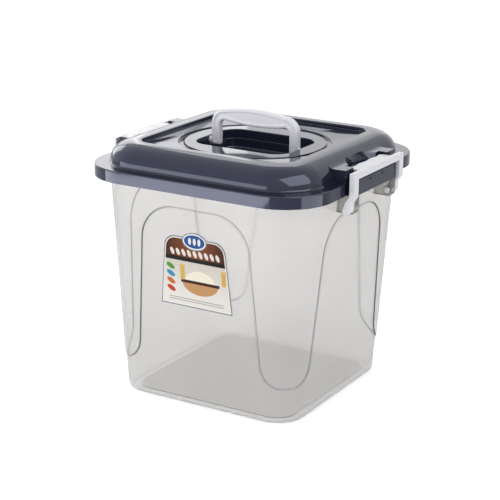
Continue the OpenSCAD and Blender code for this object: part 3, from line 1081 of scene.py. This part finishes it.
        # the open tub may come out inside out, and its wall has to grow inwards
        floor = min(mesh.faces, key=lambda f: f.calc_center_median().length)
        if floor.normal.z > 0:
            bmesh.ops.reverse_faces(mesh, faces=mesh.faces)
        bmesh.ops.solidify(mesh, geom=mesh.faces[:], thickness=self.wall)
        return mesh

    def lugs(self, side: Side) -> BMesh:
        """Builds the two lugs that carry one clip's pins.

        Args:
            side: The side that they are on.

        Returns:
            The mesh.
        """
        mesh = bmesh.new()
        root, out, low, top = self.lug_root, self.lug_out, self.lug_low, self.lug_top
        bore_x, bore_z = CLIP_AXIS
        for hand in (-1, 1):
            inner, outer = sorted((hand * self.lug_inner, hand * self.lug_outer))
            piece = bmesh.new()
            prism(piece, [(root, low), (out, low), (out, top), (root + 2, top)], inner, outer)
            foot = [e for e in piece.edges if all(v.co.x > out - 1 and v.co.z < low + 1 for v in e.verts)]
            round_edges(piece, foot, self.lug_round, 6)
            hole = bmesh.new()
            rod(hole, (bore_x, inner - 2, bore_z), (bore_x, outer + 2, bore_z), self.lug_bore)
            data = settle(carve(piece, hole), "lug")
            mesh.from_mesh(data)
            bpy.data.meshes.remove(data)
        free = sharp_edges(mesh, 30, lambda e: max(v.co.x for v in e.verts) > root + 4)
        round_edges(mesh, free, 0.7, 2)
        return handed(mesh, side)

    def badge(self) -> BMesh:
        """Builds the oval of film that stands up out of the label's head.

        Returns:
            The mesh.
        """
        mesh = bmesh.new()
        bmesh.ops.create_circle(mesh, cap_ends=True, segments=72, radius=1.0)
        bmesh.ops.scale(mesh, vec=(*self.film.badge_half, 1), verts=mesh.verts)
        draw_out(mesh, mesh.faces[:], (0, 0, self.badge_thick))
        # stood up on the glue at its level, leant with the wall, and set on the panel
        for angle, way in (
            (math.radians(90), (0, -self.badge_glue, self.film.badge_level)),
            (math.atan(self.taper), (0, self.panel_step - self.base_half - self.front_extra, 0)),
        ):
            bmesh.ops.rotate(mesh, cent=(0, 0, 0), matrix=Matrix.Rotation(angle, 3, "X"), verts=mesh.verts)
            bmesh.ops.translate(mesh, vec=way, verts=mesh.verts)
        outward(mesh)
        return mesh

    def dress(self) -> list[Object]:
        """Makes the tub's pieces and prints its label.

        Returns:
            The pieces.
        """
        clear = self.finish.make()
        shell = finish_piece(self.shell(), "tub_shell", Body.TUB, clear, 30)
        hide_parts("tub")
        lug_clear = self.lug_finish.make()
        print_film = self.film.make()
        label = bpy.data.objects["label"]
        label.data.materials.clear()
        label.data.materials.append(print_film)
        pieces = [shell, finish_piece(self.badge(), "label_badge", Body.TUB, print_film, 35)]
        for side in Side:
            name = f"tub_lugs_{side.name.lower()}"
            pieces.append(finish_piece(self.lugs(side), name, Body.TUB, lug_clear, 35))
        return pieces


# Lid ---------------------------------------------------------------------------


@dataclass
class ClipSeat:
    """A clip's seat on the lid: two shoulders, the plate's recess with a finger scoop, and a face with bumps."""

    root: float = 118.0
    out: float = 150.0
    half: float = 61.5
    foot: float = 275.2
    shoulder: float = 292.4
    blend_start: float = 136.0
    blend_run: float = 1.5
    blend_rise: float = 3.27
    gap: float = 0.3
    over: float = 305.0
    recess_root: float = 139.5
    recess_half: float = 42.5
    recess_floor: float = 286.7
    recess_knee: float = 143.585
    face_root: float = 146.5
    face: float = 158.5
    face_half: float = 50.4
    face_foot: float = 262.0
    face_inner: float = 147.4
    face_step: float = 154.5
    plate_under: float = 287.0
    bar_under: float = 283.0
    bar_inner: float = 155.0
    # how far the lid rises while the clips swing by one radian
    clip_rise: float = 7.415
    bumps: int = 4
    bump_spacing: float = 30.7
    bump_level: float = 275.52
    scoop_middle: float = 173.7
    scoop_level: tuple[float, float] = (281.1, 295.2)
    scoop_radius: tuple[float, float] = (45.0, 49.8)
    scoop_end: float = 143.0
    scoop_round: float = 2.5

    def sweep(self, x: float, under: float) -> float:
        """Gives the highest level that the seat may have, so that the opening clip clears it.

        Args:
            x: Where on the seat.
            under: The level of the clip's underside there.

        Returns:
            The level.
        """
        reach = max(0.0, x - CLIP_AXIS[0] + self.clip_rise)
        return under - self.gap - reach * reach / (2 * (under - CLIP_AXIS[1]))

    def scoop(self, side: Side) -> BMesh:
        """Builds the round cutter that leaves room for a fingertip behind a clip's plate.

        Args:
            side: The side that it is on.

        Returns:
            The mesh.
        """
        mesh = bmesh.new()
        low, high = ((self.scoop_middle, 0, level) for level in self.scoop_level)
        rod(mesh, low, high, *self.scoop_radius, 128)
        foot = sharp_edges(mesh, 40, lambda e: e.verts[0].co.z < self.scoop_level[0] + 0.9)
        round_edges(mesh, foot, self.scoop_round, 4)
        behind = bmesh.ops.bisect_plane(
            mesh, geom=mesh.verts[:] + mesh.edges[:] + mesh.faces[:], plane_co=(self.scoop_end, 0, 0),
            plane_no=(1, 0, 0), clear_outer=True,
        )["geom_cut"]
        bmesh.ops.contextual_create(mesh, geom=[g for g in behind if isinstance(g, BMEdge)])
        return handed(mesh, side)

    def build(self, side: Side) -> BMesh:
        """Builds the seat.

        Args:
            side: The side that it is on.

        Returns:
            The mesh.
        """
        mesh, cut, face = bmesh.new(), bmesh.new(), bmesh.new()
        # the shoulders rise in a curve into the dome
        blend = [
            (self.blend_start - self.blend_run * i, self.shoulder + self.blend_rise * (i / 6) ** 2) for i in range(7)
        ]
        inside = [(122.5, 298.2), (120.0, 299.2), (self.root, 296.0)]
        foot = [(self.root, self.foot), (self.out, self.foot), (self.out, self.shoulder)]
        prism(mesh, [*foot, *blend, *inside], -self.half, self.half)
        # the recess falls away outwards along the sweep of the clip's plate
        way_out = CLIP_AXIS[0]
        recess = [(self.recess_root, z) for z in (self.over, self.recess_floor)]
        recess += [(self.recess_knee, self.recess_floor), (way_out, self.sweep(way_out, self.plate_under))]
        recess.append((way_out, self.over))
        prism(cut, recess, -self.recess_half, self.recess_half)
        mesh = carve(carve(mesh, cut), self.scoop(Side.RIGHT))
        # the face stands out under the clip's bar, with its top along the sweep of the bar and of the plate
        step, inner = self.face_step, self.bar_inner
        outline = [(self.face_root, self.face_foot), (self.face, self.face_foot)]
        outline += [(self.face, self.sweep(self.face, self.bar_under)), (step, self.sweep(inner, self.bar_under))]
        outline += [(step, self.sweep(inner, self.plate_under))]
        outline += [(self.face_root, self.sweep(self.face_inner, self.plate_under))]
        prism(face, outline, -self.face_half, self.face_half)
        free = sharp_edges(face, 30, lambda e: min(v.co.x for v in e.verts) > self.out)
        round_edges(face, free, 0.9, 2)
        mesh = carve(mesh, face, union=True)
        for i in range(self.bumps):
            y = (i - (self.bumps - 1) / 2) * self.bump_spacing
            rod(mesh, (self.face - 1.0, y, self.bump_level), (self.face + 1.5, y, self.bump_level), 2.4, 0.9)
        return handed(mesh, side)


@dataclass
class Lid:
    """The slate lid: skirt, ledge, domed side, recessed platform with a ring groove, handle well and clip seats."""

    finish: MouldedPlastic
    seat: ClipSeat = field(default_factory=ClipSeat)
    half: float = 150.0
    extra: float = 3.0
    corner: float = 60.0
    wall: float = 2.6
    skirt_bottom: float = 263.3
    ledge: float = 277.5
    ledge_width: float = 12.0
    flare: float = 2.5
    flare_steps: int = 3
    dome_steps: int = 14
    dome_corner: float = 57.0
    lean: float = 31.0
    crest: float = 302.0
    crest_width: float = 8.0
    platform: float = 294.2
    recess_foot: float = 297.3
    groove_half: tuple[float, float] = (89.0, 84.0)
    groove_corner: float = 80.0
    groove_width: float = 6.5
    groove_depth: float = 2.6
    groove_draft: float = 0.3
    well_half: tuple[float, float] = (62.0, 46.2)
    well_corner: float = 22.0
    well_step_down: float = 11.2
    well_step: float = 0.8
    well_floor: float = 271.5
    rib_half: tuple[float, float] = (131.8, 132.8)
    rib_corner: float = 50.6
    rib_top: float = 276.0
    rib_depth: float = 8.3

    def shell(self) -> BMesh:
        """Builds the whole lid but for its clip seats, as one wall of even thickness.

        Returns:
            The mesh.
        """
        mesh = bmesh.new()
        skirt = rounded_sheet(mesh, self.half, self.half + self.extra, self.corner, self.skirt_bottom)
        outer = Stack(mesh, skirt)
        outer.step(0.0, self.ledge - self.skirt_bottom, fillet=1.3)
        ledge_rim = outer.open_cap()
        foot = self.half - self.ledge_width
        dome = Stack(mesh, rounded_sheet(mesh, foot, foot + self.extra, self.dome_corner, self.ledge, 28))
        bmesh.ops.bridge_loops(mesh, edges=ledge_rim + list(dome.cap.edges))
        # the dome flares out of the ledge, then bends over to the crest
        reach, level = 0.0, 0.0
        for i in range(1, self.flare_steps + 1):
            angle = math.radians(90 * i / self.flare_steps)
            new_reach, new_level = self.flare * math.sin(angle), self.flare * (1 - math.cos(angle))
            dome.step(new_reach - reach, new_level - level)
            reach, level = new_reach, new_level
        run, rise = self.lean - self.flare, self.crest - self.ledge - self.flare
        reach, level = run, 0.0
        for i in range(1, self.dome_steps + 1):
            angle = math.radians(90 * i / self.dome_steps)
            new_reach, new_level = run * math.cos(angle), rise * math.sin(angle)
            dome.step(reach - new_reach, new_level - level)
            reach, level = new_reach, new_level
        dome.step(self.crest_width - 0.4, 0.0, fillet=1.3)
        dome.step(0.3, self.recess_foot - self.crest, fillet=0.7)
        recess_rim = dome.open_cap()
        groove = Stack(mesh, rounded_sheet(mesh, *self.groove_half, self.groove_corner, self.platform, 28))
        draft = self.groove_draft
        groove.fillet(0.9)
        groove.step(draft, -self.groove_depth, fillet=0.8)
        groove.step(self.groove_width - 2 * draft, 0.0, fillet=0.8)
        groove.step(draft, self.groove_depth, fillet=0.9)
        island_rim = groove.open_cap()
        well = Stack(mesh, rounded_sheet(mesh, *self.well_half, self.well_corner, self.platform))
        well.fillet(1.0)
        well.step(0.0, -self.well_step_down, fillet=0.3)
        well.step(self.well_step, 0.0, fillet=0.4)
        well.step(0.0, self.well_floor - self.platform + self.well_step_down, fillet=2.0)
        bmesh.ops.bridge_loops(mesh, edges=recess_rim + groove.start)
        bmesh.ops.bridge_loops(mesh, edges=island_rim + well.start)
        for stack in (outer, dome, groove, well):
            stack.round_off()
        outward(mesh)
        # the open lid may come out inside out, and its wall has to grow inwards
        top = max(mesh.faces, key=lambda f: f.calc_center_median().z)
        if top.normal.z < 0:
            bmesh.ops.reverse_faces(mesh, faces=mesh.faces)
        bmesh.ops.solidify(mesh, geom=mesh.faces[:], thickness=self.wall)
        for side in Side:
            mesh = carve(mesh, self.seat.scoop(side))
        return mesh

    def rib(self) -> BMesh:
        """Builds the rib that hangs into the tub's mouth.

        Returns:
            The mesh.
        """
        mesh = bmesh.new()
        stack = Stack(mesh, rounded_sheet(mesh, *self.rib_half, self.rib_corner, self.rib_top))
        stack.step(self.wall, 0.0)
        ring = [f for f in mesh.faces if f is not stack.cap]
        stack.open_cap()
        draw_out(mesh, ring, (0, 0, -self.rib_depth))
        outward(mesh)
        return mesh

    def dress(self) -> list[Object]:
        """Makes the lid's pieces.

        Returns:
            The pieces.
        """
        slate = self.finish.make()
        shell = finish_piece(self.shell(), "lid_shell", Body.LID, slate, 35)
        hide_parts("lid")
        pieces = [shell, finish_piece(self.rib(), "lid_rib", Body.LID, slate, 35)]
        for side in Side:
            name = f"lid_seat_{side.name.lower()}"
            pieces.append(finish_piece(self.seat.build(side), name, Body.LID, slate, 30))
            soften(pieces[-1], 0.9)
        return pieces


# Handle ------------------------------------------------------------------------


@dataclass
class Handle:
    """The fold-down carrying handle with its two pins in the walls of the well."""

    finish: MouldedPlastic
    half: float = 58.5
    thick: float = 9.0
    leg: float = 12.0
    foot: float = 284.4
    top: float = 328.0
    crown: float = 4.0
    corner: float = 18.0
    grip: float = 13.2
    bulge: float = 3.5
    inner_corner: float = 6.0
    rim: float = 3.8
    recess: float = 1.4
    soft: float = 2.8
    pin_level: float = 289.0
    pin: float = 3.0
    pin_tip: float = 65.5
    shoulder: float = 4.1
    shoulder_tip: float = 61.7

    def bow(self) -> BMesh:
        """Builds the bow from a flat outline, with a hollowed panel on each face.

        Returns:
            The mesh.
        """
        mesh = bmesh.new()
        inner, under = self.half - self.leg, self.top - self.grip
        outline = [
            (-self.half, self.foot), (-self.half, self.top), (self.half, self.top), (self.half, self.foot),
            (inner, self.foot), (inner, under), (-inner, under), (-inner, self.foot),
        ]
        corners = [mesh.verts.new((x, -self.thick / 2, z)) for x, z in outline]
        mesh.faces.new(corners)
        round_corners(mesh, [corners[1], corners[2]], self.corner, 12)
        inside = [v for v in mesh.verts if abs(abs(v.co.x) - inner) < 0.01 and abs(v.co.z - under) < 0.01]
        round_corners(mesh, inside, self.inner_corner, 8)
        # the grip's two long edges bend: up to a crown on top, down to a bulge for the fingers
        level_edges = [e for e in mesh.edges if abs(e.verts[0].co.z - e.verts[1].co.z) < 0.001]
        long_edges = [e for e in level_edges if e.calc_length() > 60]
        bmesh.ops.subdivide_edges(mesh, edges=long_edges, cuts=19)
        for vert in mesh.verts:
            run = self.half - self.corner
            if vert.co.z > self.top - 0.001 and abs(vert.co.x) < run:
                vert.co.z += self.crown * (1 - (vert.co.x / run) ** 2)
            run = inner - self.inner_corner
            if abs(vert.co.z - under) < 0.001 and abs(vert.co.x) < run:
                vert.co.z -= self.bulge * (1 - (vert.co.x / run) ** 2)
        bmesh.ops.dissolve_faces(mesh, faces=mesh.faces[:])
        draw_out(mesh, [next(iter(mesh.faces))], (0, self.thick, 0))
        outward(mesh)
        outline_edges = sharp_edges(mesh, 50)
        broad = [f for f in mesh.faces if abs(f.normal.y) > 0.9]
        bmesh.ops.inset_individual(mesh, faces=broad, thickness=self.rim, depth=0.0, use_even_offset=True)
        walls = bmesh.ops.inset_individual(
            mesh, faces=broad, thickness=0.5, depth=-self.recess, use_even_offset=True,
        )["faces"]
        floors = {v for f in broad for v in f.verts}
        lips = each_once(e for f in walls for e in f.edges if floors.isdisjoint(e.verts))
        round_edges(mesh, outline_edges, self.soft, 5)
        round_edges(mesh, lips, 0.4, 2)
        outward(mesh)
        return mesh

    def pins(self) -> BMesh:
        """Builds the pins and the shoulders that keep the bow off the well's walls.

        Returns:
            The mesh.
        """
        mesh = bmesh.new()
        for hand in (-1, 1):
            root = (hand * (self.half - 1), 0, self.pin_level)
            for tip, radius in ((self.pin_tip, self.pin), (self.shoulder_tip, self.shoulder)):
                rod(mesh, root, (hand * tip, 0, self.pin_level), radius)
        outward(mesh)
        return mesh

    def dress(self) -> list[Object]:
        """Makes the handle's pieces.

        Returns:
            The pieces.
        """
        white = self.finish.make()
        bow = finish_piece(self.bow(), "handle_bow", Body.HANDLE, white)
        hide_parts("lid_handle")
        return [bow, finish_piece(self.pins(), "handle_pins", Body.HANDLE, white)]


# Clips -------------------------------------------------------------------------


@dataclass
class Clip:
    """One side clip: bar, plate with two thumb dips, legs, round feet and pins."""

    finish: MouldedPlastic
    side: Side
    half: float = 62.0
    leg: float = 10.2
    inner: float = 155.0
    outer: float = 162.0
    top: float = 290.0
    bar_under: float = 283.0
    knee: float = 263.3
    shin: float = 7.0
    shin_inner: float = 0.6
    shin_outer: float = 6.3
    foot: float = 5.6
    pin: float = 3.7
    pin_tip: float = 40.4
    plate_inner: float = 142.0
    plate_half: float = 40.0
    plate: float = 3.0
    plate_ends: float = 3.0
    plate_slices: int = 24
    dip: float = 1.6
    soft: float = 1.6
    plate_soft: float = 0.8

    def frame(self) -> BMesh:
        """Builds bar, legs, feet and plate from one block.

        Returns:
            The mesh.
        """
        mesh = bmesh.new()
        pin_x, pin_z = CLIP_AXIS
        block(mesh, (self.inner, -self.half, self.bar_under), (self.outer, self.half, self.top))
        leg_inner = self.half - self.leg
        for level in (-leg_inner, leg_inner):
            cut_across(mesh, (0, level, 0), (0, 1, 0))
        for hand in (-1, 1):
            mesh.normal_update()
            under = next(
                f for f in mesh.faces if f.normal.z < -0.9 and f.calc_center_median().y * hand > leg_inner
            )
            # each leg goes straight down to the knee, then in to the foot round its pin
            for target_z, low_x, high_x in (
                (self.knee, self.inner, self.outer),
                (self.knee - self.shin, pin_x - self.shin_inner, pin_x + self.shin_outer),
                (pin_z - self.foot, pin_x - self.foot, pin_x + self.foot),
            ):
                grown = bmesh.ops.extrude_face_region(mesh, geom=[under])["geom"]
                under = next(g for g in grown if isinstance(g, BMFace))
                middle = sum(v.co.x for v in under.verts) / 4
                for vert in under.verts:
                    vert.co.z = target_z
                    vert.co.x = high_x if vert.co.x > middle else low_x
        bmesh.ops.remove_doubles(mesh, verts=mesh.verts, dist=0.001)
        inside = [f for f in mesh.faces if not all(e.is_manifold for e in f.edges)]
        bmesh.ops.delete(mesh, geom=[f for f in inside if abs(f.normal.z) > 0.9], context="FACES")
        outward(mesh)
        feet = [
            e for e in mesh.edges
            if all(abs(v.co.z - (pin_z - self.foot)) < 0.01 for v in e.verts)
            and abs(e.verts[0].co.x - e.verts[1].co.x) < 0.01
        ]
        round_edges(mesh, feet, self.foot * 0.98, 7)
        self.grow_plate(mesh)
        thin = [
            e for e in sharp_edges(mesh, 40)
            if min(v.co.x for v in e.verts) < self.inner - 0.5 and e.verts[0].co.z > self.bar_under
        ]
        round_edges(mesh, thin, self.plate_soft, 3)
        thick = [
            e for e in sharp_edges(mesh, 60)
            if min(v.co.x for v in e.verts) > self.inner - 0.5 or e.verts[0].co.z < self.bar_under - 1
        ]
        round_edges(mesh, thick, self.soft, 4)
        return mesh

    def grow_plate(self, mesh: BMesh) -> None:
        """Draws the plate that reaches over the seat out of the bar's inner face.

        Args:
            mesh: The frame's mesh.
        """
        low = self.top - self.plate
        cut_across(mesh, (0, 0, low), (0, 0, 1))
        for end in (-self.plate_half, self.plate_half):
            cut_across(mesh, (0, end, 0), (0, 1, 0))
        mesh.normal_update()
        root = [
            f for f in mesh.faces
            if f.normal.x < -0.9 and abs(f.calc_center_median().y) < self.plate_half and f.calc_center_median().z > low
        ]
        draw_out(mesh, root, (self.plate_inner - self.inner, 0, 0))
        for i in range(1, self.plate_slices):
            tips = [v for v in mesh.verts if v.co.x < self.inner - 1 and v.co.z > low - 0.1]
            blade = each_once(f for v in tips for f in v.link_faces)
            parts = blade + each_once(e for f in blade for e in f.edges) + each_once(v for f in blade for v in f.verts)
            y = self.plate_half * (2 * i / self.plate_slices - 1)
            bmesh.ops.bisect_plane(mesh, geom=parts, plane_co=(0, y, 0), plane_no=(0, 1, 0))
        # the plate's edge dips twice for the thumbs, and its ends stand back
        for vert in mesh.verts:
            if vert.co.x < self.inner - 1 and vert.co.z > low - 0.1:
                share = vert.co.y / self.plate_half
                if abs(share) > 0.999:
                    vert.co.x += self.plate_ends
                else:
                    vert.co.x += self.dip * (1 + math.cos(math.radians(540 * share))) / 2
        outward(mesh)

    def pins(self) -> BMesh:
        """Builds the two pins.

        Returns:
            The mesh.
        """
        mesh = bmesh.new()
        pin_x, pin_z = CLIP_AXIS
        for hand in (-1, 1):
            rod(mesh, (pin_x, hand * self.pin_tip, pin_z), (pin_x, hand * (self.half - self.leg + 1), pin_z), self.pin)
        outward(mesh)
        rims = sharp_edges(mesh, 60, lambda e: abs(e.verts[0].co.y) < self.pin_tip + 0.1)
        round_edges(mesh, rims, 1.6, 4)
        return mesh

    def dress(self) -> list[Object]:
        """Makes the clip's pieces.

        Returns:
            The pieces.
        """
        white = self.finish.make()
        name = f"clip_{self.side.name.lower()}"
        pieces = []
        for label, mesh in (("frame", self.frame()), ("pins", self.pins())):
            mesh = handed(mesh, self.side)
            pieces.append(finish_piece(mesh, f"{name}_{label}", Body[name.upper()], white))
        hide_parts(name)
        return pieces


# Studio ------------------------------------------------------------------------


@dataclass(frozen=True)
class SoftLight:
    """One soft panel light, in metres. One for gloss only shows in reflections and doesn't light the walls."""

    name: str
    place: tuple[float, float, float]
    aim: tuple[float, float, float]
    size: tuple[float, float]
    radiance: float
    gloss_only: bool = False

    def hang(self) -> None:
        """Hangs the light."""
        data = bpy.data.lights.new(self.name, "AREA")
        data.shape = "RECTANGLE"
        data.size, data.size_y = self.size
        data.energy = self.radiance * self.size[0] * self.size[1] * math.pi
        lamp = put_in_scene(self.name, data)
        lamp.location = self.place
        lamp.rotation_euler = (Vector(self.aim) - Vector(self.place)).to_track_quat("-Z", "Y").to_euler()
        lamp.visible_camera = False
        lamp.visible_transmission = False
        lamp.visible_diffuse = not self.gloss_only


@dataclass
class Studio:
    """Plain pale floor, soft light and the camera, in metres and degrees."""

    target: tuple[float, float, float] = (0.0, 0.0, 0.1609)
    azimuth: float = 30.23
    elevation: float = 17.29
    distance: float = 1.8284
    roll: float = 0.73
    lens: float = 110.19
    shift: float = -0.0081
    room_light: float = 0.72
    floor_radius: float = 6.0
    floor_lift: float = 0.45
    paper: str = "F4F4F4"
    lights: tuple[SoftLight, ...] = (
        SoftLight("low_strip", (-0.41, -0.80, 0.063), (0.0, -0.153, 0.063), (1.25, 0.084), 5.1),
        SoftLight("front_card", (-0.43, -0.80, 0.285), (0.0, -0.14, 0.285), (1.2, 0.22), 2.9),
        SoftLight("right_strip", (0.717, -0.08, 0.105), (0.14, -0.12, 0.105), (0.58, 0.1), 2.7),
        SoftLight("behind_right", (-0.36, 1.00, 0.60), (0.0, 0.0, 0.29), (0.52, 0.45), 0.42),
        SoftLight("behind_left", (-0.74, 1.00, 0.60), (0.0, 0.0, 0.29), (0.24, 0.35), 1.05),
        SoftLight("behind_high", (-0.535, 0.89, 1.08), (0.0, 0.0, 0.29), (0.55, 0.40), 1.5),
        SoftLight("far_left", (-1.03, 0.88, 0.64), (0.0, 0.0, 0.29), (0.42, 0.42), 1.4, True),
        SoftLight("left", (-1.15, 0.40, 0.62), (0.0, 0.0, 0.29), (0.40, 0.60), 2.6, True),
        SoftLight("key_right", (1.10, -0.32, 1.19), (0.12, -0.11, 0.29), (1.5, 1.4), 3.0, True),
    )

    def backdrop(self) -> None:
        """Makes a world that camera, gloss and clear walls see white, and that lights the object plainly."""
        world = bpy.data.worlds.new("white_room")
        bpy.context.scene.world = world
        tree = empty_tree(world)
        path, straight = seen_straight(tree)
        seen = add_node(
            tree, "ShaderNodeMath", {"operation": "MAXIMUM"}, {0: straight, 1: path.outputs["Is Glossy Ray"]},
        )
        lit, white = (
            add_node(tree, "ShaderNodeBackground", {"Color": (1, 1, 1, 1), "Strength": strength})
            for strength in (self.room_light, 1.0)
        )
        mix = add_node(
            tree, "ShaderNodeMixShader", None, {0: seen.outputs[0], 1: lit.outputs[0], 2: white.outputs[0]},
        )
        add_node(tree, "ShaderNodeOutputWorld", None, {"Surface": mix.outputs["Shader"]})

    def floor(self) -> None:
        """Lays a wide floor of matt paper, lifted to white where it is seen straight, that keeps the shadow."""
        mesh = bmesh.new()
        bmesh.ops.create_circle(mesh, cap_ends=True, segments=96, radius=self.floor_radius)
        data = settle(mesh, "floor")
        floor = put_in_scene("floor", data)
        material = bpy.data.materials.new("white_paper_floor")
        tree = empty_tree(material)
        _, straight = seen_straight(tree)
        paper = add_node(tree, "ShaderNodeBsdfDiffuse", {"Color": linear(self.paper)})
        lift = add_node(tree, "ShaderNodeEmission", {"Strength": self.floor_lift})
        both = add_node(tree, "ShaderNodeAddShader", None, {0: paper.outputs[0], 1: lift.outputs[0]})
        mix = add_node(
            tree, "ShaderNodeMixShader", None, {0: straight, 1: paper.outputs[0], 2: both.outputs[0]},
        )
        add_node(tree, "ShaderNodeOutputMaterial", None, {"Surface": mix.outputs[0]})
        data.materials.append(material)

    def camera(self) -> None:
        """Sets up the camera."""
        azimuth, elevation = math.radians(self.azimuth), math.radians(self.elevation)
        away = Vector((
            math.sin(azimuth) * math.cos(elevation), -math.cos(azimuth) * math.cos(elevation), math.sin(elevation),
        ))
        data = bpy.data.cameras.new("camera")
        data.sensor_width = 36.0
        data.lens = self.lens
        data.shift_x = self.shift
        data.clip_end = 50.0
        camera = put_in_scene("camera", data)
        place = Vector(self.target) + away * self.distance
        turn = (-away).to_track_quat("-Z", "Y").to_matrix().to_4x4()
        camera.matrix_world = Matrix.Translation(place) @ turn @ Matrix.Rotation(math.radians(self.roll), 4, "Z")
        bpy.context.scene.camera = camera

    def build(self) -> None:
        """Sets up world, floor, lights, camera and view."""
        self.backdrop()
        self.floor()
        for light in self.lights:
            light.hang()
        self.camera()
        bpy.context.scene.view_settings.view_transform = "Standard"


# Making ------------------------------------------------------------------------


def main() -> None:
    """Builds the whole object and its studio."""
    logging.basicConfig(level=logging.INFO, format="%(message)s")
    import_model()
    Studio().build()
    clear = SmokedClear()
    lug = SmokedClear("clarified_polypropylene_thick_lug", "DEDCD8", 0.13)
    slate = MouldedPlastic("polypropylene_slate_polished", "242637", "2A2C3F", 0.07, ior=1.52, gloss_tint="E2E8FF")
    ivory = MouldedPlastic("polypropylene_pale_lavender", "F6F7FE", "FAFAFF", 0.3)
    white = MouldedPlastic("polypropylene_white", "E6E7EC", "ECEDF1", 0.3)
    pieces = Tub(clear, lug, PrintedFilm()).dress()
    pieces += Lid(slate).dress()
    pieces += Handle(ivory).dress()
    for side in Side:
        pieces += Clip(white, side).dress()
    LOG.info("%d pieces", len(pieces))


if __name__ == "__main__":
    main()
